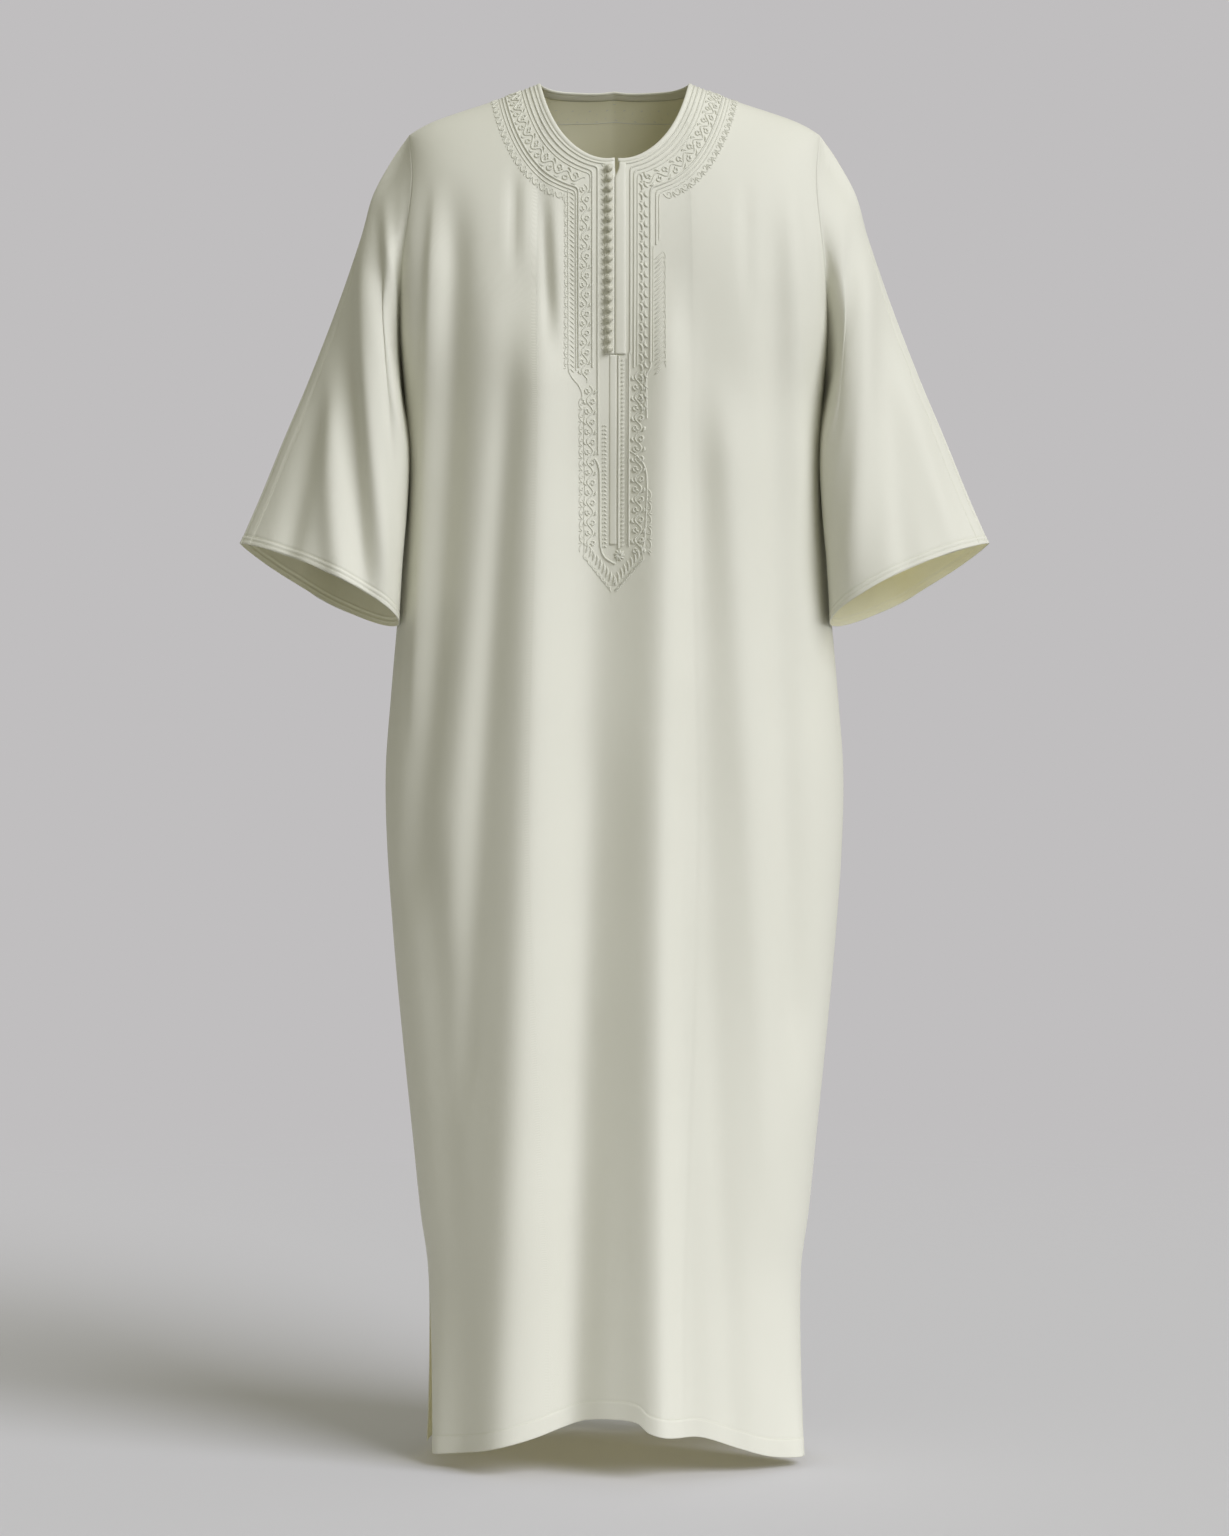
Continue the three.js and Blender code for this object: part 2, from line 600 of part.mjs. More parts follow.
add("neck_binding", laid(roundNeck(0.4, 5.4, 2.9, 0.9, 56), 1.6), IVORY);
add("neck_cord_inner", laid(roundNeck(12, 14.5, 13, -14, 56), 1.1), THREAD);
add("neck_cord_outer", laid(roundNeck(40, 42.5, 42, -42, 56), 1.1), THREAD);
const PLACKET_TOP = -91;
add("button_placket", laid(tapeDown(-5.4, 8.4, PLACKET_TOP, PLACKET_END, 14), 1.2), IVORY);
add("loop_placket", laid(tapeDown(7.6, 7.4, PLACKET_TOP, PLACKET_END, 14), 2.2), IVORY);
add("centre_tape", laid(tapeDown(-1.4, 7, PLACKET_END - 1, -480, 14), 1.3), THREAD);

// Straight cords down the front: the middle of each, and its top and lower end.
const CORDS = table("name x top low", [
  ["placket_cord_right", 16, -102, -283],
  ["placket_cord_left", -20.5, -105, -283],
  ["border_cord_right", 36.5, -124, -286],
  ["border_cord_left", -45, -124, -283],
  ["lower_cord_left", -16.3, -288, -478],
  ["lower_cord_middle", 14.8, -288, -478],
  ["lower_cord_right", 32.2, -306, -474],
]);
for (const { name, x, top, low } of CORDS)
  add(name, laid(tapeDown(x, 2.4, top, low, Math.round((top - low) / 10)), 1.1), THREAD);

// The knotted buttons, wound from cord, in one row down the placket.
const KNOT = { radius: 3.9, x: -5.4, first: -96, pitch: 10.27, count: 19 };
const ON_PLACKET = 1.2 + TRIM_LIFT;
for (let k = 0; k < KNOT.count; k += 1) {
  const place = placeAt(KNOT.x, KNOT.first - KNOT.pitch * k);
  const p = body(-1, place.a, place.w);
  const n = bodyNormal(-1, place.a, place.w);
  const number = String(k + 1).padStart(2, "0");
  const knot = add(`knot_button_${number}`, new THREE.IcosahedronGeometry(KNOT.radius, 1), THREAD);
  knot.position.copy(p.addScaledVector(n, seat(p, n) + ON_PLACKET + 0.5 + KNOT.radius));
}

export default gandoura;
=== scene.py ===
import math

import bmesh
import bpy
import numpy as np
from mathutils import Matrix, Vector


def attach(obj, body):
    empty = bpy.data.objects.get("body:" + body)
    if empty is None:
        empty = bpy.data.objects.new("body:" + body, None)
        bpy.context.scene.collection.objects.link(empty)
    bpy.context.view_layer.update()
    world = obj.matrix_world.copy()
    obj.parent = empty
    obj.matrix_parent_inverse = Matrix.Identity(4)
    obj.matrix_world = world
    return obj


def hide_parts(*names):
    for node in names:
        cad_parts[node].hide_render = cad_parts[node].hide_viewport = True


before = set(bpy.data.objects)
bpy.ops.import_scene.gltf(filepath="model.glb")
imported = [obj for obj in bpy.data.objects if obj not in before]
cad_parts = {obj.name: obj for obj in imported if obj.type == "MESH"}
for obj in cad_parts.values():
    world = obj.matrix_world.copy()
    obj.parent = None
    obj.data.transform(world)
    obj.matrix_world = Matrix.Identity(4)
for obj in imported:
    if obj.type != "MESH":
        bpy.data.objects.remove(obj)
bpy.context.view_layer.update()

# The camera stands five metres in front, a little above the middle of the garment, and looks slightly down.
# Its lens takes in 1.61 m from top to bottom at the garment.
VIEW = {"distance": 5.0, "height": -0.5, "aim": -0.714, "tall": 1.6128}
camera_data = bpy.data.cameras.new("camera")
camera_data.sensor_width = 36
slant = math.hypot(VIEW["distance"], VIEW["height"] - VIEW["aim"])
camera_data.lens = 36 * slant / VIEW["tall"]
camera_data.clip_end = 60
camera = bpy.data.objects.new("camera", camera_data)
camera.location = (0, -VIEW["distance"], VIEW["height"])
camera.rotation_euler = (math.pi / 2 + math.atan2(VIEW["aim"] - VIEW["height"], VIEW["distance"]), 0, 0)
scene = bpy.context.scene
scene.collection.objects.link(camera)
scene.camera = camera
scene.view_settings.view_transform = "Standard"

# The studio: an even grey surround, a broad key light high on the right, and a pale floor just under the hem
# that fades into the surround.
SURROUND = (0.527, 0.515, 0.521)
AMBIENT = {"colour": (0.53, 0.522, 0.44), "level": 0.51, "lift": 0.34}
FLOOR = {"z": -1.4405, "size": 9.0, "colour": (0.66, 0.655, 0.67), "fade_from": 1.1, "fade_to": 3.4}
KEY = {"strength": 2.36, "colour": (0.97, 0.98, 1.08), "angle": 36, "from": (0.94, -0.88, 0.9)}


def feed(tree, node, inputs):
    """Gives inputs of a node a value each, or another node's output."""
    for name, value in dict(inputs).items():
        if isinstance(value, bpy.types.NodeSocket):
            tree.links.new(value, node.inputs[name])
        else:
            node.inputs[name].default_value = value
    return node


def add_node(tree, kind, inputs=(), **settings):
    node = tree.nodes.new(kind)
    for name, value in settings.items():
        setattr(node, name, value)
    return feed(tree, node, inputs)


def maths(tree, operation, *values):
    return add_node(tree, "ShaderNodeMath", enumerate(values), operation=operation).outputs[0]


world = bpy.data.worlds.new("surround")
world.use_nodes = True
scene.world = world
tree = world.node_tree
tree.nodes.clear()
direction = add_node(tree, "ShaderNodeTexCoord")
upward = add_node(tree, "ShaderNodeSeparateXYZ", {0: direction.outputs["Generated"]})
strength = maths(tree, "MULTIPLY_ADD", upward.outputs["Z"], AMBIENT["lift"], AMBIENT["level"])
lighting = add_node(tree, "ShaderNodeBackground", {"Color": (*AMBIENT["colour"], 1), "Strength": strength})
seen = add_node(tree, "ShaderNodeBackground", {"Color": (*SURROUND, 1)})
in_view = add_node(tree, "ShaderNodeLightPath").outputs["Is Camera Ray"]
either = add_node(tree, "ShaderNodeMixShader", {0: in_view, 1: lighting.outputs[0], 2: seen.outputs[0]})
add_node(tree, "ShaderNodeOutputWorld", {0: either.outputs[0]})

key_data = bpy.data.lights.new("key", "SUN")
key_data.energy = KEY["strength"]
key_data.color = KEY["colour"]
key_data.angle = math.radians(KEY["angle"])
key = bpy.data.objects.new("key", key_data)
key.rotation_euler = Vector(KEY["from"]).to_track_quat("Z", "Y").to_euler()
scene.collection.objects.link(key)

# Dim warm lamps inside stand for the light that comes through thin cloth: the skirt's falls on the floor, and the
# others fall on the back's inside at the neck and the right sleeve's at the cuff.
THROUGH_COLOUR = (1.0, 0.93, 0.68)
THROUGH = (
    ("through_skirt", (0, 0, -1.1), (0, 0, -1), (0.26, 0.16), 0.13),
    ("through_chest", (0.0, -0.02, -0.2), (0.0, 0.45, 1), (0.1, 0.05), 0.02),
    ("through_sleeve", (0.28, -0.045, -0.41), (0.1, 0.25, -1), (0.04, 0.03), 0.03),
)
for name, at, towards, size, power in THROUGH:
    through_data = bpy.data.lights.new(name, "AREA")
    through_data.shape = "RECTANGLE"
    through_data.size, through_data.size_y = size
    through_data.energy = power
    through_data.color = THROUGH_COLOUR
    through = bpy.data.objects.new(name, through_data)
    through.location = at
    through.rotation_euler = Vector(towards).to_track_quat("-Z", "Y").to_euler()
    through.visible_camera = False
    scene.collection.objects.link(through)

floor_mesh = bpy.data.meshes.new("floor")
half_floor = FLOOR["size"] / 2
corners = [(sx * half_floor, sy * half_floor, FLOOR["z"]) for sx, sy in ((-1, -1), (1, -1), (1, 1), (-1, 1))]
floor_mesh.from_pydata(corners, [], [(0, 1, 2, 3)])
floor = bpy.data.objects.new("floor", floor_mesh)
scene.collection.objects.link(floor)
floor_paint = bpy.data.materials.new("floor_paper")
floor_paint.use_nodes = True
tree = floor_paint.node_tree
tree.nodes.clear()
place = add_node(tree, "ShaderNodeTexCoord").outputs["Object"]
flat_place = add_node(tree, "ShaderNodeVectorMath", {0: place, 1: (1, 1, 0)}, operation="MULTIPLY")
from_middle = add_node(tree, "ShaderNodeVectorMath", {0: flat_place.outputs[0]}, operation="LENGTH")
fade = add_node(
    tree,
    "ShaderNodeMapRange",
    {"Value": from_middle.outputs["Value"], "From Min": FLOOR["fade_from"], "From Max": FLOOR["fade_to"]},
    interpolation_type="SMOOTHSTEP",
)
paper = add_node(tree, "ShaderNodeBsdfDiffuse", {"Color": (*FLOOR["colour"], 1)})
clear = add_node(tree, "ShaderNodeBsdfTransparent")
faded = {0: fade.outputs["Result"], 1: paper.outputs[0], 2: clear.outputs[0]}
blend = add_node(tree, "ShaderNodeMixShader", faded)
add_node(tree, "ShaderNodeOutputMaterial", {0: blend.outputs[0]})
floor_mesh.materials.append(floor_paint)

# The gandoura's cloth: a smooth ivory twill, cut as a front and a back and sewn at the shoulders and sides.
# It hangs open in long soft folds. Sizes are millimetres from the middle of the neck.
CHEST = -230
UNDERARM = -330
SLIT_TOP = -1241
PLACKET_END = -286
NECK = {"half": 78, "front": 152, "back": 57}
SHOULDER_HALF = 214
SHOULDER_SQUARE = 3.4
YOKE_SHARE = 0.75
ARMHOLE_CUT = {-1: 0.34, 1: 0.3}
SLIT = {"x": 1.2, "width": 1.4}
SIDE_SLIT = {"left": 21, "right": 2, "in": 8, "swing": 42, "length": 190, "girth": 290}
HEM_OUTLINE = {"half": 198, "square": 2.3}
CLOTH = 0.9
HEM_DEPTH = 19


def table(columns, rows):
    return {name: np.array([row[i] for row in rows], float) for i, name in enumerate(columns.split())}


SHOULDER = table(
    "x z",
    [(0, 24), (40, 16), (78, 0), (104, -10), (132, -20), (160, -29), (186, -38), (201, -45), (214, -53)],
)
BODY = table(
    "z half front back square",
    [
        (60, 214, 112, 106, 3.4),
        (-60, 214, 114, 108, 3.4),
        (-150, 218, 118, 114, 3.4),
        (-250, 219, 121, 118, 3.3),
        (-330, 213, 123, 119, 3.0),
        (-400, 216, 125, 120, 2.8),
        (-470, 220, 128, 122, 2.6),
        (-560, 227, 132, 126, 2.5),
        (-640, 234, 137, 131, 2.4),
        (-716, 239.5, 140, 134, 2.35),
        (-800, 238, 142, 137, 2.3),
        (-900, 231, 143, 139, 2.3),
        (-1000, 222, 143, 140, 2.3),
        (-1100, 212, 142, 141, 2.3),
        (-1180, 204, 141, 142, 2.3),
        (-1241, 196, 140, 142, 2.3),
        (-1320, 195, 139, 143, 2.3),
        (-1440, 198, 138, 144, 2.3),
    ],
)
HEM = {
    -1: table(
        "x z",
        [(-200, -1428), (-150, -1419), (-90, -1401), (-55, -1389), (-28, -1381), (0, -1378), (24, -1380)]
        + [(34, -1389), (60, -1396), (90, -1398), (130, -1413), (165, -1426), (200, -1431)],
    ),
    1: table("x z", [(-200, -1426), (-110, -1420), (-40, -1414), (30, -1418), (110, -1416), (200, -1428)]),
}
# Each fold runs through three places on the cloth. left and right are how wide it is, and riseTop and riseLow how
# far it stands out or, below nothing, in.
FOLD_COLUMNS = "zTop xTop zMid xMid zLow xLow left right riseTop riseLow"
FOLDS = {
    -1: table(
        FOLD_COLUMNS,
        [
            (-70, -214, -220, -209, -420, -217, 16, 12, 9, 5),
            (-95, -183, -300, -190, -720, -212, 7, 12, 7, 4),
            (-90, -166, -352, -172, -900, -222, 16, 18, -9, -9),
            (-740, -196, -1080, -178, -1650, -145, 20, 22, -7, -5),
            (-170, -121, -455, -137, -950, -185, 21, 19, 5, 3.5),
            (-270, -100, -557, -124, -1100, -160, 14, 15, -5, -4),
            (-210, -74, -700, -87, -1650, -126, 30, 28, 18, 14),
            (-330, -14, -843, -30, -1650, -60, 28, 30, -7, -17),
            (-640, -12, -1050, -26, -1650, -40, 26, 30, -2, -9),
            (-190, 56, -700, 46, -1650, 48, 28, 21, 12, 15),
            (-640, 44, -1050, 42, -1650, 46, 34, 18, 2, 8),
            (-330, 85, -843, 98, -1650, 140, 18, 18, -3.5, -4),
            (-290, 110, -690, 134, -1200, 160, 18, 20, 6.5, 3),
            (-90, 163, -455, 167, -1060, 194, 18, 18, -5, -7),
            (-100, 180, -300, 188, -640, 206, 11, 10, 4, 2),
            (-70, 213, -220, 209, -420, 217, 12, 16, 6, 4),
            (-84, -103, -140, -103, -215, -104, 6, 6, -4, -2),
            (-84, -92, -140, -92, -215, -93, 6, 8, 2, 1),
            (-92, -76, -190, -71, -300, -66, 6, 7, -4, -3),
            (-92, -63, -190, -59, -300, -52, 6, 8, 3, 3),
            (-90, 134, -150, 135, -260, 137, 7, 8, -2.5, -2),
        ],
    ),
    1: table(
        FOLD_COLUMNS,
        [
            (-90, -184, -380, -190, -1000, -214, 12, 12, 6, 3),
            (-110, -160, -420, -166, -1200, -190, 16, 17, -8, -7),
            (-180, -120, -640, -126, -1650, -146, 22, 24, 7, 10),
            (-240, -78, -700, -84, -1650, -96, 22, 22, -6, -12),
            (-160, -38, -640, -40, -1650, -42, 22, 24, 6, 13),
            (-150, 8, -700, 4, -1650, -2, 24, 26, -5, -14),
            (-260, 52, -760, 50, -1650, 52, 22, 24, 7, 13),
            (-210, 94, -700, 98, -1650, 106, 20, 22, -6, -11),
            (-190, 134, -620, 142, -1650, 158, 20, 20, 6, 9),
            (-110, 164, -420, 172, -1200, 194, 14, 14, -8, -5),
            (-100, 186, -380, 192, -900, 212, 10, 10, 5, 3),
        ],
    ),
}
FOLD_FADE = 110


def read(rows, by, column, at):
    """A smooth curve through one column of a table, read by another column."""
    x, y = rows[by], rows[column]
    if x[-1] < x[0]:
        x, y = x[::-1], y[::-1]
    last = len(x) - 1
    k = np.arange(last + 1)
    low, high = np.maximum(k - 1, 0), np.minimum(k + 1, last)
    slope = (y[high] - y[low]) / (x[high] - x[low])
    i = np.clip(np.searchsorted(x, at, side="right") - 1, 0, last - 1)
    step = x[i + 1] - x[i]
    s = np.clip((at - x[i]) / step, 0, 1)
    p, q = y[i], y[i + 1]
    m, n = slope[i] * step, slope[i + 1] * step
    return p + s * (m + s * (3 * (q - p) - 2 * m - n + s * (2 * (p - q) + m + n)))


def ease(x, low, high):
    s = np.clip((x - low) / (high - low), 0, 1)
    return s * s * (3 - 2 * s)


def unit(v):
    return v / np.maximum(np.linalg.norm(v, axis=-1, keepdims=True), 1e-12)


def gone_along(points, axis):
    """How far each point of a line or grid is along the cloth from the first one on an axis."""
    return np.insert(np.cumsum(np.linalg.norm(np.diff(points, axis=axis), axis=-1), axis), 0, 0, axis)


def folds_at(rows, x, z):
    """How far all the folds together lift the cloth."""
    total = np.zeros(np.broadcast(x, z).shape)
    for z_top, x_top, z_mid, x_mid, z_low, x_low, left, right, rise_top, rise_low in zip(*rows.values()):
        length = z_top - z_low
        run = (z_top - z) / length
        middle = (z_top - z_mid) / length
        bend = (x_mid - x_top - (x_low - x_top) * middle) / (middle * (middle - 1))
        off = x - (x_top + (x_low - x_top) * run + bend * run * (run - 1))
        width = np.where(off < 0, left, right)
        fade = min(FOLD_FADE, 0.4 * length)
        window = ease(z_top - z, 0, fade) * ease(z - z_low, 0, fade)
        total += (rise_top + (rise_low - rise_top) * run) * window * np.exp(-((off / width) ** 2))
    return total


def outline(a, square):
    """The body's outline seen from above, from the middle at 0 to the sides at -1 and 1: a rounded square."""
    s, c = np.sin(a * math.pi / 2), np.cos(a * math.pi / 2)
    k = (np.abs(s) ** square + np.abs(c) ** square) ** (-1 / square)
    return s * k, c * k


def share_at(x, half, square):
    r = np.minimum(1, np.abs(x) / half)
    return np.sign(x) * 2 * np.arctan2(r, (1 - r**square) ** (1 / square)) / math.pi


def ridge_at(a):
    return read(SHOULDER, "x", "z", np.abs(SHOULDER_HALF * outline(a, SHOULDER_SQUARE)[0]))


def bare_body(face, a, w):
    """The body without its folds. a goes round from side to side, and w down: 0 shoulder, 1 underarm, 2 hem."""
    a, w = np.broadcast_arrays(np.asarray(a, float), np.asarray(w, float))
    turn = np.minimum(1, w / YOKE_SHARE) * math.pi / 2
    z = CHEST + (ridge_at(a) - CHEST) * np.cos(turn)
    z = np.where(w > YOKE_SHARE, CHEST + (UNDERARM - CHEST) * (w - YOKE_SHARE) / (1 - YOKE_SHARE), z)
    hem = read(HEM[face], "x", "z", outline(a, HEM_OUTLINE["square"])[0] * HEM_OUTLINE["half"])
    z = np.where(w > 1, UNDERARM + (w - 1) * (hem - UNDERARM), z)
    across, deep = outline(a, read(BODY, "z", "square", z))
    x = read(BODY, "z", "half", z) * across
    y = face * read(BODY, "z", "front" if face < 0 else "back", z) * deep * np.sin(turn)
    return np.stack([x, y, z], -1)


def normal_of(surface, u, v, sign, step=0.002):
    du = surface(u + step, v) - surface(u - step, v)
    dv = surface(u, v + step) - surface(u, v - step)
    return unit(np.cross(du, dv) * sign)


def body(face, a, w):
    a, w = np.broadcast_arrays(np.asarray(a, float), np.asarray(w, float))
    p = bare_body(face, a, w)
    still = ease(w, 0.02, 0.2) * (1 - ease(np.abs(a), 0.9, 1))
    rise = folds_at(FOLDS[face], p[..., 0], p[..., 2]) * still
    out = normal_of(lambda u, v: bare_body(face, u, v), a, w, face) * rise[..., None]
    if face < 0:
        below = np.maximum(0, SLIT_TOP - p[..., 2]) / SIDE_SLIT["length"]
        moved = below**1.3 * ease(np.abs(a), 0.55, 1)
        out[..., 0] += np.where(a < 0, SIDE_SLIT["in"], 0) * moved
        out[..., 1] -= SIDE_SLIT["swing"] * moved
    return p + out


def body_normal(face, a, w):
    return normal_of(lambda u, v: body(face, u, v), a, w, face)


def armhole_share(face, w):
    return 1 - ARMHOLE_CUT[face] * np.sin(math.pi * np.clip(w, 0, 1)) ** 0.8


def down_from(face, a, length):
    """The place down each column of cloth that is a length from the shoulder line."""
    w = np.linspace(0, 1.1, 240)
    columns = bare_body(face, np.asarray(a)[..., None], w)
    flat = gone_along(columns, columns.ndim - 2).reshape(-1, len(w))
    return np.array([np.interp(want, one, w) for want, one in zip(np.ravel(length), flat)]).reshape(np.shape(a))


def neck_drop(face, x, width):
    """How much cloth lies between the shoulder line and a line that is a width outside the neck's edge."""
    reach = NECK["front" if face < 0 else "back"] + width
    r = np.minimum(1, np.abs(x) / (NECK["half"] + width))
    return reach * (1 - r**2.1) ** 0.52


def neck_ring(face, x, width):
    a = share_at(x, SHOULDER_HALF, SHOULDER_SQUARE)
    return down_from(face, a, neck_drop(face, x, width))


def place_at(x, z):
    """The place on the front that is seen at x, z from straight in front."""
    x, z = np.broadcast_arrays(np.asarray(x, float), np.asarray(z, float))
    a = share_at(x, read(BODY, "z", "half", z), read(BODY, "z", "square", z))
    ridge = ridge_at(a)
    yoke = YOKE_SHARE * 2 * np.arccos(np.clip((z - CHEST) / (ridge - CHEST), -1, 1)) / math.pi
    chest = YOKE_SHARE + (1 - YOKE_SHARE) * (CHEST - z) / (CHEST - UNDERARM)
    skirt = 1 + (UNDERARM - z) / (UNDERARM - read(HEM[-1], "x", "z", x))
    return a, np.where(z >= CHEST, yoke, np.where(z >= UNDERARM, chest, skirt))


def add_piece(name, mesh, material, slot, *nodes):
    """Places a finished mesh in the scene, riding on the garment and standing for its solids."""
    mesh.name = name
    if not mesh.materials:
        mesh.materials.append(material)
    piece = bpy.data.objects.new(name, mesh)
    scene.collection.objects.link(piece)
    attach(piece, "root")
    if nodes:
        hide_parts(*nodes)
    return piece


def cloth_mesh(name, points, normals, thick=CLOTH, skip=None, head=0):
    """Closes a grid of points, in millimetres, into a sheet of cloth, with a UV map in metres of cloth.
    head is how far down the cloth each column begins."""
    columns, rows = points.shape[:2]
    both = np.stack([points + normals * thick / 2, points - normals * thick / 2], 2) / 1000
    number = np.arange(columns * rows * 2).reshape(columns, rows, 2)
    keep = np.ones((columns - 1, rows - 1), bool)
    if skip is not None:
        keep &= ~skip
    i, j = np.nonzero(keep)
    a, b, c, d = number[i, j], number[i + 1, j], number[i + 1, j + 1], number[i, j + 1]
    outside = np.stack([a[:, 0], b[:, 0], c[:, 0], d[:, 0]], 1)
    inside = np.stack([a[:, 1], d[:, 1], c[:, 1], b[:, 1]], 1)
    faces = [outside, inside]
    padded = np.pad(keep, 1)
    sides = ((0, -1, (0, 0), (1, 0)), (0, 1, (1, 1), (0, 1)), (-1, 0, (0, 1), (0, 0)), (1, 0, (1, 0), (1, 1)))
    for di, dj, start, end in sides:
        beside = padded[1 + di : padded.shape[0] - 1 + di, 1 + dj : padded.shape[1] - 1 + dj]
        ri, rj = np.nonzero(keep & ~beside)
        p, q = number[ri + start[0], rj + start[1]], number[ri + end[0], rj + end[1]]
        faces.append(np.stack([p[:, 0], p[:, 1], q[:, 1], q[:, 0]], 1))
    faces = np.concatenate(faces)
    probe = np.cross(points[1, 0] - points[0, 0], points[0, 1] - points[0, 0])
    if probe @ normals[0, 0] < 0:
        faces = faces[:, ::-1]
    used, faces = np.unique(faces, return_inverse=True)
    faces = faces.reshape(-1, 4)
    across = gone_along(points, 0)
    across -= across[columns // 2]
    down = gone_along(points, 1) + head
    flat = np.repeat(np.stack([across, -down], -1)[:, :, None], 2, 2).reshape(-1, 2)[used] / 1000
    mesh = bpy.data.meshes.new(name)
    mesh.from_pydata(both.reshape(-1, 3)[used].tolist(), [], faces.tolist())
    layer = mesh.uv_layers.new(name="cloth")
    layer.data.foreach_set("uv", flat[faces.ravel()].astype(np.float32).ravel())
    number = np.arange(len(faces))
    mesh.polygons.foreach_set("use_smooth", number < 2 * len(i))
    # The inside faces take the copy of the twill that carries painted warm light.
    mesh.materials.append(ivory)
    mesh.materials.append(ivory_inside_painted_warm_light)
    mesh.polygons.foreach_set("material_index", ((number >= len(i)) & (number < 2 * len(i))).astype(np.int32))
    mesh.update()
    return mesh


def node_group(name, kind, inputs, outputs):
    """A tree of nodes with named inputs and outputs, and the two nodes that they come in and go out by."""
    group = bpy.data.node_groups.new(name, kind)
    for label, holds, value in inputs:
        socket = group.interface.new_socket(label, in_out="INPUT", socket_type="NodeSocket" + holds)
        if value is not None:
            socket.default_value = value
    for label, holds in outputs:
        group.interface.new_socket(label, in_out="OUTPUT", socket_type="NodeSocket" + holds)
    return group, group.nodes.new("NodeGroupInput"), group.nodes.new("NodeGroupOutput")


# The weave shows as fine slanting ribs, with slubs where a yarn is thicker, and the cloth's tone drifts a little.
RIB_SLANT = 0.55
weave, weave_in, weave_out = node_group(
    "twill_weave",
    "ShaderNodeTree",
    [("Cloth", "Vector", None), ("Rib", "Float", 0.0009), ("Slub", "Float", 0.4)],
    [("Height", "Float"), ("Tone", "Float")],
)
yarns = weave_in.outputs["Cloth"]
parts = add_node(weave, "ShaderNodeSeparateXYZ", {0: yarns})
slanted = maths(weave, "ADD", parts.outputs[0], maths(weave, "MULTIPLY", parts.outputs[1], RIB_SLANT))
phase = maths(weave, "DIVIDE", slanted, weave_in.outputs["Rib"])
rib = maths(weave, "SINE", maths(weave, "MULTIPLY", phase, 2 * math.pi))
stretch = add_node(weave, "ShaderNodeVectorMath", {0: yarns, 1: (900, 60, 1)}, operation="MULTIPLY")
slubs = add_node(weave, "ShaderNodeTexNoise", {"Vector": stretch.outputs[0], "Scale": 1, "Detail": 3})
slub = maths(weave, "MULTIPLY", maths(weave, "SUBTRACT", slubs.outputs["Fac"], 0.5), weave_in.outputs["Slub"])
drift = add_node(weave, "ShaderNodeTexNoise", {"Vector": yarns, "Scale": 7, "Detail": 4})
drifted = maths(weave, "SUBTRACT", drift.outputs["Fac"], 0.5)
tone = maths(weave, "ADD", maths(weave, "MULTIPLY", slub, 0.35), drifted)
height = maths(weave, "MULTIPLY_ADD", rib, 0.3, slub)
feed(weave, weave_out, {"Height": height, "Tone": maths(weave, "MULTIPLY_ADD", tone, 0.5, 0.5)})


def patterned_material(name, group, places, colours, gloss, relief, finish):
    """A material whose colour, gloss and relief follow a group's Tone and Height. places feeds the group."""
    material = bpy.data.materials.new(name)
    material.use_nodes = True
    tree = material.node_tree
    pattern = add_node(tree, "ShaderNodeGroup", places(tree), node_tree=group)
    tint = add_node(tree, "ShaderNodeValToRGB", {"Fac": pattern.outputs["Tone"]})
    for element, colour in zip(tint.color_ramp.elements, colours):
        element.color = (*colour, 1)
    raised = {"Strength": relief[0], "Distance": relief[1], "Height": pattern.outputs["Height"]}
    looks = {
        "Base Color": tint.outputs["Color"],
        "Roughness": maths(tree, "MULTIPLY_ADD", pattern.outputs["Tone"], *gloss),
        "Normal": add_node(tree, "ShaderNodeBump", raised).outputs["Normal"],
    }
    feed(tree, tree.nodes["Principled BSDF"], {**looks, **finish})
    return material


def cloth_material(name, dark, light, rough, sheen):
    def places(tree):
        return {"Cloth": add_node(tree, "ShaderNodeUVMap", uv_map="cloth").outputs[0], "Rib": 0.0009}

    finish = {"Sheen Weight": sheen, "Sheen Roughness": 0.45, "Specular IOR Level": 0.35}
    return patterned_material(name, weave, places, (dark, light), (0.16, rough - 0.08), (0.5, 0.00025), finish)


ivory = cloth_material("ivory_twill", (0.73, 0.725, 0.615), (0.825, 0.82, 0.71), 0.56, 0.12)
# The cloth's inside faces get a yellower, lighter copy of the twill: painted warm light that stands in for light
# coming through the thin cloth and bouncing inside.
ivory_inside_painted_warm_light = cloth_material("ivory_twill_inside_painted_warm_light", (0.82, 0.8, 0.6), (0.9, 0.885, 0.68), 0.62, 0.08)


def groove_at(away, depth, width=1.1):
    """The groove that a row of stitches pulls into the cloth, from 0 to 1."""
    return np.exp(-(((away - depth) / width) ** 2))


def hem_relief(away, depth, high, groove):
    """How far a hem as deep as depth stands out, by how far away its edge is."""
    return high * (1 - ease(away, depth - 1, depth + 1.4)) - groove * groove_at(away, depth)


GRID = {"neck": 30, "side": 60, "yoke": 60, "skirt": 130, "hem": 26, "hem_share": 0.024}
NECK_OPEN = {"from": -107, "to": -93, "middle": 0.007, "right": 0.0105, "left": 0.003, "reach": 0.03}
SEWN_LIFT = CLOTH / 2 + 0.1


def column_shares():
    """Where the columns right of the middle stand: close at the neck's edge, then even to the side."""
    x = NECK["half"] * np.sin(np.arange(1, GRID["neck"] + 1) / GRID["neck"] * math.pi / 2)
    neck = share_at(x, SHOULDER_HALF, SHOULDER_SQUARE)
    side = neck[-1] + (1 - neck[-1]) * np.arange(1, GRID["side"] + 1) / GRID["side"]
    return np.concatenate([neck, side])


def yoke_rows(count):
    return 1 - (1 - np.arange(count + 1) / count) ** 1.3


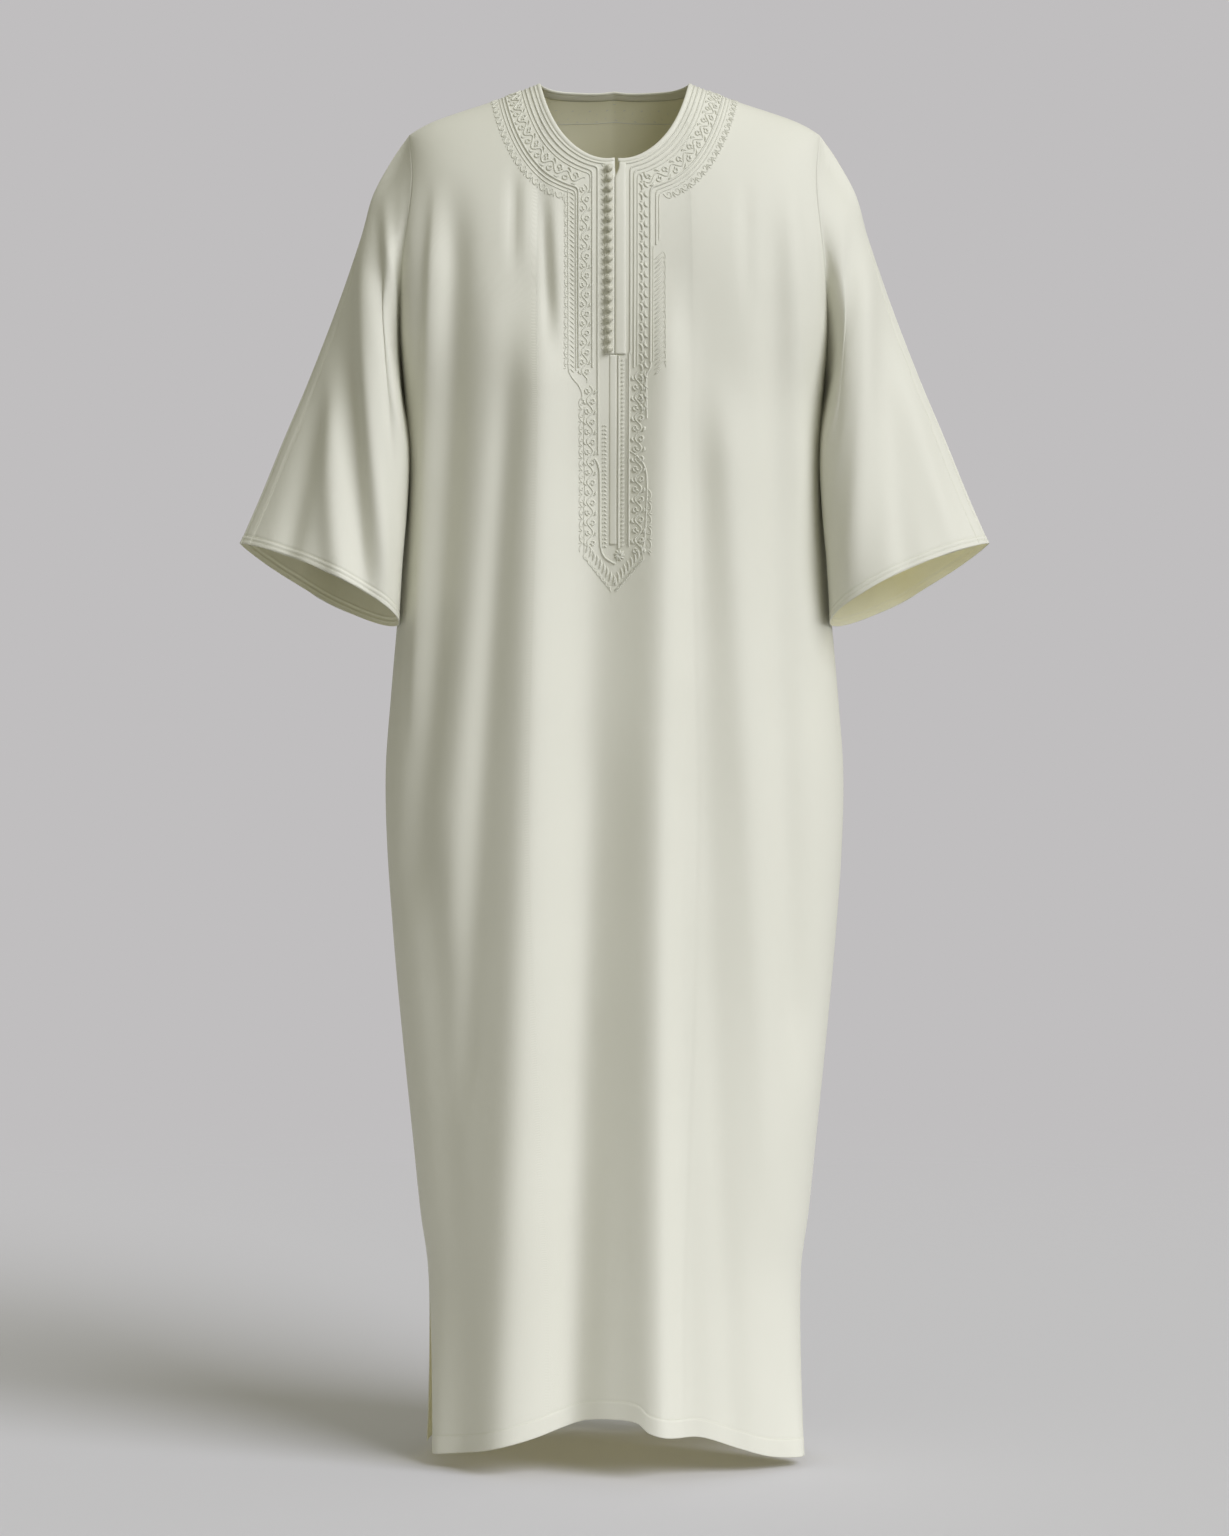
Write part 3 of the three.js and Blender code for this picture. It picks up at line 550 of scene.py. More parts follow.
def panel_places(face):
    """The grid of a panel: each column's share of the half girth, and its places down the cloth."""
    shares = column_shares()
    slit = share_at(np.array([SLIT["x"], SLIT["x"] + SLIT["width"]]), SHOULDER_HALF, SHOULDER_SQUARE)
    u = np.concatenate([-shares[::-1], slit if face < 0 else [0.0], shares])[:, None]
    x = SHOULDER_HALF * outline(u, SHOULDER_SQUARE)[0]
    top = neck_ring(face, x, 0)
    yoke = top + (1 - top) * yoke_rows(GRID["yoke"])
    skirt = 1 + np.concatenate(
        [
            np.linspace(0, 1 - GRID["hem_share"], GRID["skirt"])[1:],
            1 - np.linspace(GRID["hem_share"], 0, GRID["hem"])[1:],
        ]
    )
    w = np.concatenate([yoke, np.broadcast_to(skirt, (len(u), len(skirt)))], 1)
    cut = np.where(w <= 1, (1 - armhole_share(face, w)) * ease(np.abs(u), 0.45, 1), 0)
    a = u - np.sign(u) * cut
    if face < 0:
        z = bare_body(face, a, w)[..., 2]
        part = np.where(u > NECK_OPEN["middle"], NECK_OPEN["right"], -NECK_OPEN["left"])
        part = ease(z, NECK_OPEN["from"], NECK_OPEN["to"]) * part
        a = a + part * np.exp(-np.abs(a) / NECK_OPEN["reach"])
        below = np.maximum(SLIT_TOP - z, 0) / SIDE_SLIT["length"]
        slit_open = np.where(u < 0, SIDE_SLIT["left"], SIDE_SLIT["right"]) * below**1.3
        a = a - np.sign(u) * slit_open * ease(np.abs(u), 0.7, 1) / SIDE_SLIT["girth"]
    return a, w


def panel(face):
    a, w = panel_places(face)
    points = body(face, a, w)
    normals = body_normal(face, a, w)
    down = gone_along(points, 1)
    points = points + normals * hem_relief(down[:, -1:] - down, HEM_DEPTH, 0.35, 0.35)[..., None]
    return points, normals


def line_at(points, normals, gone, reach, axis):
    """The line across a grid where gone, which grows along an axis, passes reach, just proud of the cloth."""
    if axis == 0:
        points, normals, gone = points.swapaxes(0, 1), normals.swapaxes(0, 1), gone.T
    k = np.argmin(np.abs(gone - reach), 1)
    i = np.arange(len(gone))
    return points[i, k] + normals[i, k] * SEWN_LIFT


sewn = []
for face, name, node in ((-1, "front_cloth", "front_panel"), (1, "back_cloth", "back_panel")):
    points, normals = panel(face)
    down = gone_along(points, 1)
    sewn.append(line_at(points, normals, down[:, -1:] - down, HEM_DEPTH, 1))
    for edge_in in (3, -4):
        edge = points[edge_in] + normals[edge_in] * SEWN_LIFT
        sewn.append(edge[edge[:, 2] < SLIT_TOP])
    skip = None
    if face < 0:
        skip = np.zeros((points.shape[0] - 1, points.shape[1] - 1), bool)
        gap = GRID["neck"] + GRID["side"]
        skip[gap] = points[gap, 1:, 2] > PLACKET_END - 1
    cloth = cloth_mesh(name, points, normals, skip=skip, head=neck_drop(face, points[:, :1, 0], 0))
    add_piece(name, cloth, ivory, "cloth", node)

# The sleeves: wide cones that end at half length, each sewn from a front and a back half along its top and
# under the arm, with a turned and twice-stitched cuff.
CUFF_DEPTH = 9
LEAVE = 0.24
SEAM_LINES = (5, 19)
SLEEVE = table(
    "t outerX outerZ innerX innerZ front back outerY innerY tilt crease",
    [
        (0, 214, -53, 213, -330, 74, 66, 0, 0, 0, 0.5),
        (0.07, 232, -79, 214, -340, 76, 66, 0, -8, 0, 0.52),
        (0.16, 252, -116, 213, -358, 75, 66, -2, -18, 0.02, 0.55),
        (0.26, 264, -160, 213, -382, 72, 66, -5, -27, 0.05, 0.6),
        (0.4, 285, -223, 214, -413, 68, 66, -11, -36, 0.1, 0.66),
        (0.59, 317, -307, 217.5, -460, 64, 64, -20, -42, 0.17, 0.72),
        (0.74, 343.5, -370, 221, -500, 62, 60, -27, -46, 0.22, 0.77),
        (0.89, 369, -433, 223, -537, 61, 57, -34, -49, 0.26, 0.8),
        (1, 389, -479, 224, -562, 60, 54, -39, -51, 0.28, 0.8),
    ],
)
SLEEVE_FOLDS = {
    1: table(
        FOLD_COLUMNS,
        [
            (-110, 250, -226, 240, -430, 217, 9, 9, -5, -6),
            (-140, 260, -309, 254, -560, 240, 12, 15, 6, 7),
            (-240, 276, -370, 288, -580, 308, 14, 15, -4, -4),
            (-250, 283, -351, 310, -540, 368, 14, 14, 4, 5),
        ],
    ),
    -1: table(
        FOLD_COLUMNS,
        [
            (-100, -240, -230, -229, -380, -221, 6, 6, 5, 3),
            (-110, -250, -250, -238, -440, -222, 6, 7, -6, -5),
            (-120, -257, -290, -254, -580, -229, 10, 11, 8, 7),
            (-230, -284, -351, -271.5, -590, -248, 13, 12, -8, -8),
            (-270, -285, -402, -291, -600, -268, 13, 13, 7, 7),
            (-290, -295, -400, -319, -560, -352, 13, 14, -6, -8),
        ],
    ),
}
SLEEVE_BACK_FOLDS = table(
    FOLD_COLUMNS,
    [
        (-110, 236, -230, 240, -400, 234, 8, 8, 6, 4),
        (-130, 252, -260, 254, -540, 262, 11, 12, -8, -7),
        (-180, 276, -340, 284, -580, 300, 14, 15, 7, 8),
        (-290, 300, -400, 316, -560, 336, 13, 13, -6, -7),
    ],
)


def sleeve_ring(side, face, w, t):
    """A ring of the sleeve: w goes round a half from top seam to underarm, and t from armhole to cuff."""
    at = {column: read(SLEEVE, "t", column, t) for column in SLEEVE}
    tip = SHOULDER["z"][-1]
    s = np.clip((tip - bare_body(face, side * armhole_share(face, w), w)[..., 2]) / (tip - UNDERARM), 0, 1)
    crease = at["crease"]
    widest = crease / (crease + 0.5)
    swell = (s**crease * (1 - s) ** 0.5) / (widest**crease * (1 - widest) ** 0.5)
    along_x, along_z = at["innerX"] - at["outerX"], at["innerZ"] - at["outerZ"]
    length = np.hypot(along_x, along_z)
    deep = (at["front"] if face < 0 else at["back"]) * swell
    up = -face * at["tilt"] * deep
    x = at["outerX"] + along_x * s + up * along_z / length
    z = at["outerZ"] + along_z * s - up * along_x / length
    middle = at["outerY"] + (at["innerY"] - at["outerY"]) * s
    return np.stack(np.broadcast_arrays(side * x, middle + face * deep, z), -1)


def bare_half(side, face, w, t):
    """A sleeve half. Over the shoulder it sets off the way the body's cloth runs at the armhole."""

    def edge(v):
        return body(face, side * armhole_share(face, v), v)

    seam = edge(w) - sleeve_ring(side, face, w, 0.0)
    p = sleeve_ring(side, face, w, t) + seam * (1 - ease(t, 0, 0.35))[..., None]
    a = side * armhole_share(face, w)
    line = unit(edge(np.minimum(w + 0.01, 1)) - edge(np.maximum(w - 0.01, 0)))
    across = unit(np.cross(line, body_normal(face, a, w)))
    outward = body(face, a + side * 0.01, w) - body(face, a, w)
    across *= np.sign((across * outward).sum(-1, keepdims=True))
    set_off = (sleeve_ring(side, face, w, 0.01) - sleeve_ring(side, face, w, 0.0)) * 100
    set_off -= line * (set_off * line).sum(-1, keepdims=True)
    turn = across * np.linalg.norm(set_off, axis=-1, keepdims=True) - set_off
    firm = ease(w, 0, 0.2) * (1 - ease(w, 0.5, 0.9)) * np.where(t < LEAVE, t * (1 - t / LEAVE) ** 2, 0)
    return p + turn * firm[..., None]


def bare_sleeve(side, face, w, t):
    """A sleeve half that runs on round the other half past its seams. w and t are a column and a row."""
    over, under = w < 0, w > 1
    own = bare_half(side, face, np.clip(w, 0, 1), t)
    if not (over | under).any():
        return own
    other = bare_half(side, -face, np.where(over, -w, np.where(under, 2 - w, 0.5)), t)
    return np.where((over | under)[..., None], other, own)


def sleeve(side, face, w, t):
    p = bare_sleeve(side, face, w, t)
    out = normal_of(lambda u, v: bare_sleeve(side, face, u, v), w, t, -face * side)
    still = ease(t, 0, 0.12) * ease(w, 0, 0.16) * (1 - ease(w, 0.86, 1))
    if face < 0:
        rise = folds_at(SLEEVE_FOLDS[side], p[..., 0], p[..., 2])
    else:
        rise = folds_at(SLEEVE_BACK_FOLDS, side * p[..., 0], p[..., 2])
    return p + out * (rise * still)[..., None]


def sleeve_normal(side, face, w, t):
    return normal_of(lambda u, v: sleeve(side, face, u, v), w, np.maximum(t, 0.004), -face * side)


SLEEVE_GRID = {"round": 74, "along": 74, "cuff": 28, "cuff_share": 0.06, "seam": 34, "seam_share": 0.1}
for side, hand in ((1, "right"), (-1, "left")):
    for face, half in ((-1, "front"), (1, "back")):
        seam = SLEEVE_GRID["seam_share"]
        rest = seam + (1 - seam) * yoke_rows(SLEEVE_GRID["round"])
        w = np.concatenate([np.linspace(0, seam, SLEEVE_GRID["seam"])[:-1], rest])[:, None]
        plain = (np.arange(SLEEVE_GRID["along"] + 1) / SLEEVE_GRID["along"]) ** 1.1
        turned_up = 1 - np.linspace(SLEEVE_GRID["cuff_share"], 0, SLEEVE_GRID["cuff"])[1:]
        t = np.concatenate([plain * (1 - SLEEVE_GRID["cuff_share"]), turned_up])[None]
        points = sleeve(side, face, w, t)
        normals = sleeve_normal(side, face, w, t)
        along = gone_along(points, 1)
        away = along[:, -1:] - along
        cuff = hem_relief(away, CUFF_DEPTH, 0.35, 0.55) - 0.45 * groove_at(away, CUFF_DEPTH / 2, 0.9)
        points = points + normals * cuff[..., None]
        name = f"sleeve_{half}_cloth_{hand}"
        if face < 0:
            across = gone_along(points, 0)
            strip = hem_relief(across, SEAM_LINES[1], 0.7, 0.9) - 0.7 * groove_at(across, SEAM_LINES[0])
            points = points + normals * (strip * ease(t, 0.16, 0.36) * ease(across, 0, 2))[..., None]
            sewn += [line_at(points, normals, across, reach, 0)[24:] for reach in SEAM_LINES]
        cloth = add_piece(name, cloth_mesh(name, points, normals), ivory, "cloth", f"sleeve_{half}_{hand}")
        sewn += [line_at(points, normals, away, reach, 1) for reach in (CUFF_DEPTH, CUFF_DEPTH / 2)]

# What lies on the cloth is placed by two charts: down the front by the place seen from straight in front, and
# round the neck by the angle from the front's middle and the width outside the neck's edge.


def on_front(x, z, lift=0.0):
    a, w = place_at(x, z)
    out = body_normal(-1, a, w)
    return body(-1, a, w) + out * (np.zeros(a.shape) + CLOTH / 2 + lift)[..., None], out


def on_neck(turn, width, lift=0.0):
    turn, width = np.broadcast_arrays(np.asarray(turn, float), np.asarray(width, float))
    x = (NECK["half"] + width) * np.sin(turn)
    a = share_at(x, SHOULDER_HALF, SHOULDER_SQUARE)
    p, out = np.zeros(x.shape + (3,)), np.zeros(x.shape + (3,))
    for face in (-1, 1):
        here = (np.cos(turn) > 0) == (face < 0)
        w = neck_ring(face, x[here], width[here])
        p[here], out[here] = body(face, a[here], w), body_normal(face, a[here], w)
    return p + out * (np.zeros(x.shape) + CLOTH / 2 + lift)[..., None], out


def geometry_tree(name, inputs):
    given = [("Geometry", "Geometry", None), *inputs, ("Material", "Material", None)]
    return node_group(name, "GeometryNodeTree", given, [("Geometry", "Geometry")])


def finish_tree(tree, given, out, made):
    """Ends a tree: the made geometry becomes real faces in the given material."""
    real = add_node(tree, "GeometryNodeRealizeInstances", {"Geometry": made}).outputs["Geometry"]
    paint = {"Geometry": real, "Material": given.outputs["Material"]}
    feed(tree, out, {"Geometry": add_node(tree, "GeometryNodeSetMaterial", paint).outputs["Geometry"]})


def grow(name, lines, tree, closed=False, **settings):
    """Runs a tree over lines of (points, radii), in millimetres, and gives the plain mesh that comes out."""
    edges, start = [], 0
    for points, _ in lines:
        edges += [(start + k, start + k + 1) for k in range(len(points) - 1)]
        if closed:
            edges.append((start + len(points) - 1, start))
        start += len(points)
    mesh = bpy.data.meshes.new(name)
    mesh.from_pydata((np.concatenate([p for p, _ in lines]) / 1000).tolist(), edges, [])
    radii = np.concatenate([np.broadcast_to(r, len(p)) for p, r in lines]) / 1000
    mesh.attributes.new("radius", "FLOAT", "POINT").data.foreach_set("value", radii.astype(np.float32))
    source = bpy.data.objects.new(name, mesh)
    scene.collection.objects.link(source)
    modifier = source.modifiers.new(name, "NODES")
    modifier.node_group = tree
    for item in tree.interface.items_tree:
        if item.in_out == "INPUT" and item.name in settings:
            modifier[item.identifier] = settings[item.name]
    graph = bpy.context.evaluated_depsgraph_get()
    evaluated = source.evaluated_get(graph)
    made = bpy.data.meshes.new_from_object(evaluated, preserve_all_data_layers=True, depsgraph=graph)
    bpy.data.objects.remove(source)
    return made


# A cord follows each line, as thick as the line says. It keeps how far along and how far round each point is.
cording, given, out = geometry_tree("cording", [("Sides", "Int", 8)])
spine = add_node(cording, "GeometryNodeMeshToCurve", {"Mesh": given.outputs["Geometry"]}).outputs["Curve"]
length = add_node(cording, "GeometryNodeSplineParameter").outputs["Length"]
measured = {"Geometry": spine, "Name": "along", "Value": length}
ring = add_node(cording, "GeometryNodeCurvePrimitiveCircle", {"Radius": 1, "Resolution": given.outputs["Sides"]})
place = add_node(cording, "GeometryNodeInputPosition").outputs["Position"]
marked = {"Geometry": ring.outputs["Curve"], "Name": "round", "Value": place}
swept = {
    "Curve": add_node(cording, "GeometryNodeStoreNamedAttribute", measured).outputs["Geometry"],
    "Profile Curve": add_node(
        cording, "GeometryNodeStoreNamedAttribute", marked, data_type="FLOAT_VECTOR"
    ).outputs["Geometry"],
    "Scale": add_node(cording, "GeometryNodeInputNamedAttribute", {"Name": "radius"}).outputs["Attribute"],
    "Fill Caps": True,
}
cord = add_node(cording, "GeometryNodeCurveToMesh", swept).outputs["Mesh"]
smooth = add_node(cording, "GeometryNodeSetShadeSmooth", {"Geometry": cord})
finish_tree(cording, given, out, smooth.outputs["Geometry"])

# Short straight stitches, end to end along each line with a small gap, each a little longer or shorter.
stitching, given, out = geometry_tree(
    "stitching",
    [
        ("Spacing", "Float", 0.0028),
        ("Length", "Float", 0.002),
        ("Thickness", "Float", 0.00024),
        ("Seed", "Int", 7),
    ],
)
spine = add_node(stitching, "GeometryNodeMeshToCurve", {"Mesh": given.outputs["Geometry"]}).outputs["Curve"]
stepped = {"Curve": spine, "Length": given.outputs["Spacing"]}
spots = add_node(stitching, "GeometryNodeCurveToPoints", stepped, mode="LENGTH")
round_thread = {"Vertices": 5, "Radius": given.outputs["Thickness"], "Depth": given.outputs["Length"]}
stitch = add_node(stitching, "GeometryNodeMeshCylinder", round_thread)
varied = add_node(stitching, "FunctionNodeRandomValue", {"Seed": given.outputs["Seed"]}, data_type="FLOAT_VECTOR")
low_size, high_size = [socket for socket in varied.inputs if socket.type == "VECTOR"][:2]
low_size.default_value = (0.9, 0.9, 0.85)
high_size.default_value = (1.1, 1.1, 1.1)
sewn_in = {
    "Points": spots.outputs["Points"],
    "Rotation": spots.outputs["Rotation"],
    "Instance": stitch.outputs["Mesh"],
    "Scale": next(socket for socket in varied.outputs if socket.type == "VECTOR"),
}
stitches = add_node(stitching, "GeometryNodeInstanceOnPoints", sewn_in)
finish_tree(stitching, given, out, stitches.outputs["Instances"])

# Thread and cord: the plies wind round as slanting ribs, and their colour goes darker down between the plies:
# painted shade in the grooves.
ply, ply_in, ply_out = node_group(
    "wound_plies_painted_groove_shade",
    "ShaderNodeTree",
    [("Along", "Float", 0.0), ("Round", "Vector", None), ("Pitch", "Float", 0.002)],
    [("Height", "Float"), ("Tone", "Float")],
)
parts = add_node(ply, "ShaderNodeSeparateXYZ", {0: ply_in.outputs["Round"]})
wind = maths(ply, "MULTIPLY", maths(ply, "DIVIDE", ply_in.outputs["Along"], ply_in.outputs["Pitch"]), 2 * math.pi)
one_way = maths(ply, "MULTIPLY", maths(ply, "SINE", wind), parts.outputs[0])
other_way = maths(ply, "MULTIPLY", maths(ply, "COSINE", wind), parts.outputs[1])
winding = maths(ply, "ABSOLUTE", maths(ply, "ADD", one_way, other_way))
# Tone follows the ply height, so the colour is darker down between the plies: painted shade.
feed(ply, ply_out, {"Height": winding, "Tone": maths(ply, "MULTIPLY_ADD", winding, 0.6, 0.2)})


def thread_material(name, dark, light, rough, pitch, bump):
    def places(tree):
        along = add_node(tree, "ShaderNodeAttribute", attribute_name="along").outputs["Fac"]
        around = add_node(tree, "ShaderNodeAttribute", attribute_name="round").outputs["Vector"]
        return {"Along": along, "Round": around, "Pitch": pitch}

    # The colour runs from dark down between the plies, which is painted shade, to light on their tops.
    finish = {"Sheen Weight": 0.1}
    return patterned_material(name, ply, places, (dark, light), (-0.12, rough + 0.06), (bump, 0.0003), finish)


silk = thread_material("embroidery_silk", (0.67, 0.665, 0.55), (0.83, 0.83, 0.725), 0.45, 0.0011, 0.6)
# The knot cord is coloured darker and warmer than the embroidery silk: painted shade that stands in for the shade
# on the small round beads.
knot_silk_painted_shade = thread_material("knot_cord_painted_shade", (0.46, 0.45, 0.34), (0.76, 0.75, 0.62), 0.42, 0.0012, 0.5)
sewing = thread_material("sewing_thread", (0.7, 0.7, 0.57), (0.82, 0.82, 0.7), 0.5, 0.0006, 0.4)


def strip_mesh(name, loops):
    """Closes loops of points, one for each place along a strip, into a solid strip with a cloth UV map."""
    stations, around = loops.shape[:2]
    number = np.arange(stations * around).reshape(stations, around)
    a, b = number[:-1], number[1:]
    faces = np.stack([a, np.roll(a, -1, 1), np.roll(b, -1, 1), b], -1).reshape(-1, 4).tolist()
    faces += [number[0, ::-1].tolist(), number[-1].tolist()]
    mesh = bpy.data.meshes.new(name)
    mesh.from_pydata((loops.reshape(-1, 3) / 1000).tolist(), [], faces)
    along = gone_along(loops[:, 0], 0)
    girth = np.linalg.norm(np.diff(loops[0], axis=0), axis=-1).sum()
    flat = np.stack(np.meshgrid(along, np.linspace(0, girth, around), indexing="ij"), -1).reshape(-1, 2) / 1000
    layer = mesh.uv_layers.new(name="cloth")
    corners = np.zeros(len(mesh.loops), np.int32)
    mesh.loops.foreach_get("vertex_index", corners)
    layer.data.foreach_set("uv", flat[corners].astype(np.float32).ravel())
    mesh.polygons.foreach_set("use_smooth", np.ones(len(mesh.polygons), bool))
    solid = bmesh.new()
    solid.from_mesh(mesh)
    bmesh.ops.recalc_face_normals(solid, faces=solid.faces)
    solid.to_mesh(mesh)
    solid.free()
    return mesh


# The neck's edge is bound with a narrow bias strip, rolled over the raw edge from the slit round to the slit.
RIM = {"middle": 1.5, "half": 2.2, "thick": 1.15}
turn = np.linspace(0.043, 2 * math.pi - 0.002, 260)[:, None]
theta = np.linspace(0, 2 * math.pi, 12, endpoint=False)[None]
loops, _ = on_neck(turn, RIM["middle"] + RIM["half"] * np.cos(theta), RIM["thick"] * np.sin(theta) - CLOTH / 2)
trims = [add_piece("neck_rim", strip_mesh("neck_rim", loops), ivory, "cloth", "neck_binding")]

# Inside the back of the neck a narrow facing shows below the rim, turned in and sewn down.
turn = np.linspace(1.62, 4.66, 120)[:, None]
profile_width = np.array([0.5, 4, 8.4, 9.2, 8.4, 4, 0.5])[None]
profile_depth = np.array([-1.3, -1.35, -1.3, -1.1, -0.9, -0.9, -0.9])[None]
loops, _ = on_neck(turn, profile_width, profile_depth)
facing = add_piece("neck_facing", strip_mesh("neck_facing", loops), ivory, "cloth")

# Folded strips edge the slit: one carries the knots and one is plain. A third runs on below, down to the tip.
TAPES = (
    ("button_strip", "button_placket", -5.1, 10.4, -90, -286, 0.8, -1.2),
    ("loop_strip", "loop_placket", 6.0, 11.4, -90, -286, 1.5, 4.2),
    ("middle_strip", "centre_tape", -1.4, 7.4, -287, -480, 0.9, 0),
)
for name, node, x, width, top, low_end, thick, part in TAPES:
    z = np.linspace(top, low_end, 130)[:, None]
    f = np.array([-1, -0.94, -0.75, -0.4, 0, 0.4, 0.75, 0.94, 1, 0.6, -0.6])[None]
    rise = np.array([0.1, 0.65, 0.92, 1, 1, 1, 0.92, 0.65, 0.1, -0.15, -0.15])[None] * thick
    shift = part * ease(z, NECK_OPEN["from"], NECK_OPEN["to"]) * (1 - np.sign(part) * f) / 2
    loops, _ = on_front(x + f * width / 2 + shift, z + 0 * f, rise)
    trims.append(add_piece(name, strip_mesh(name, loops), ivory, "cloth", node))

# The knotted buttons: nineteen balls, each wound from one cord in a Turk's head over a core, in a row on the
# left strip.
KNOT = {"radius": 3.9, "x": -5.4, "first": -96, "pitch": 10.27, "count": 19, "cord": 0.8, "core": 3.75}
KNOT_LEADS, KNOT_BIGHTS, KNOT_SWING, KNOT_TURN = 3, 4, 1.12, 0.5
z = KNOT["first"] - KNOT["pitch"] * np.arange(KNOT["count"])
centres, outs = on_front(np.full(z.shape, KNOT["x"]), z, 0.8 + 0.7 * KNOT["radius"])
s = np.linspace(0, 2 * math.pi, 144, endpoint=False)
wound = KNOT["radius"] - KNOT["cord"] + 0.25 * np.cos(2 * KNOT_BIGHTS * s)
swing = KNOT_SWING * np.sin(KNOT_BIGHTS * s)
ball = [np.cos(KNOT_LEADS * s) * np.cos(swing), np.sin(KNOT_LEADS * s) * np.cos(swing), np.sin(swing)]
ball = np.stack(ball, -1) * wound[:, None]
windings, cores = [], []
for k, (centre, out_way) in enumerate(zip(centres, outs)):
    side_way = unit(np.cross(out_way, (0, 0, 1)))
    up_way = np.cross(side_way, out_way)
    c, s = math.cos(KNOT_TURN * k), math.sin(KNOT_TURN * k)
    first, second = side_way * c + up_way * s, up_way * c - side_way * s
    windings.append((centre + ball[:, :1] * first + ball[:, 1:2] * second + ball[:, 2:] * out_way, KNOT["cord"]))
    reach = KNOT["core"] * np.sin(np.linspace(-1.5, 1.5, 9))
    cores.append((centre + reach[:, None] * out_way, np.sqrt(KNOT["core"] ** 2 - reach**2)))
knot_mesh = grow("knot_buttons", windings, cording, closed=True, Sides=6, Material=knot_silk_painted_shade)
core_mesh = grow("knot_cores", cores, cording, Sides=16, Material=knot_silk_painted_shade)
both = bmesh.new()
both.from_mesh(knot_mesh)
both.from_mesh(core_mesh)
both.to_mesh(knot_mesh)
both.free()
knot_nodes = [f"knot_button_{k + 1:02d}" for k in range(KNOT["count"])]
trims.append(add_piece("knot_buttons", knot_mesh, knot_silk_painted_shade, "knots", *knot_nodes))

# The embroidery is tone on tone: couched cords, and leaves and scrolls of padded satin stitch. Each line is a
# run of places with a radius, sunk a little in the cloth.
SUNK = 0.1


def eased(points, passes=3):
    """Rounds the corners of a line."""
    for _ in range(passes):
        points = np.concatenate([points[:1], (points[:-2] + 2 * points[1:-1] + points[2:]) / 4, points[-1:]])
    return points


def leaf(length, bend, thick):
    """A bent leaf, from its foot at 0, 0 upwards: across, up and radius."""
    s = np.linspace(0, 1, 7)
    return bend * np.sin(math.pi * s) ** 1.2, length * s, 0.16 + thick * np.sin(math.pi * s**0.8) ** 0.8


def curl(size, thick):
    """A hook that winds in on itself."""
    s = np.linspace(0, 1, 10)
    angle = 0.4 + 4.6 * s
    reach = size * (1 - 0.62 * s)
    return reach * np.cos(angle), reach * np.sin(angle), thick * (1 - 0.3 * s)


def turned(shape, angle, flip=1):
    across, up, radius = shape
    c, s = math.cos(angle), math.sin(angle)
    return flip * (across * c - up * s), across * s + up * c, radius


def put(shape, across, up):
    return across + shape[0], up + shape[1], shape[2]


def vine(length, half, pitch, thick):
    """A winding stem with a curl in each bend and leaves beside it, in a band of a half width."""
    s = np.arange(0, length, 1.3)
    made = [(0.5 * half * np.sin(2 * math.pi * s / pitch), s, np.full(s.shape, 0.7 * thick))]
    for k, at in enumerate(np.arange(pitch / 4, length - pitch / 5, pitch / 2)):
        side = 1 if k % 2 == 0 else -1
        long_leaf = leaf(0.95 * half, 0.22 * half, thick)
        short_leaf = leaf(0.6 * half, 0.12 * half, 0.8 * thick)
        made.append(put(turned(curl(0.48 * half, thick), 0.9, side), -0.42 * side * half, at))
        made.append(put(turned(long_leaf, 0.5, side), 0.95 * side * half, at - 0.2 * half))
        made.append(put(turned(short_leaf, 2.3, side), 0.1 * side * half, at + 0.3 * half))
    return made


def scallops(length, pitch, rise, thick):
    """An edge of small arches, each with a curl in it and a leaf between it and the next."""
    s = np.arange(0, length, 0.9)
    made = [(rise * np.abs(np.sin(math.pi * s / pitch)) ** 0.6, s, np.full(s.shape, thick))]
    for at in np.arange(pitch / 2, length - pitch / 4, pitch):
        made.append(put(curl(0.5 * rise, 0.9 * thick), 0.3 * rise, at))
        made.append(put(turned(leaf(0.75 * rise, 0.1 * rise, thick), -1.4), 0.5 * rise, at + pitch / 2))
    return made


def to_front(made, x, top, flip):
    return [(x + flip * across, top - along, radius) for across, along, radius in made]


def round_neck(width, right_x, left_x):
    """The angles along a line round the neck, and the length at each."""
    half = NECK["half"] + width
    turn = np.linspace(math.asin(right_x / half), 2 * math.pi + math.asin(left_x / half), 400)
    return turn, gone_along(on_neck(turn, width)[0], 0)


def laid(shapes, chart):
    """Lays shapes on the cloth by on_front or on_neck, all in one go."""
    first, second, radius = (np.concatenate([shape[k] for shape in shapes]) for k in range(3))
    points, _ = chart(first, second, radius * SUNK)
    cuts = np.cumsum([len(shape[0]) for shape in shapes])[:-1]
    return list(zip(np.split(points, cuts), np.split(radius, cuts)))


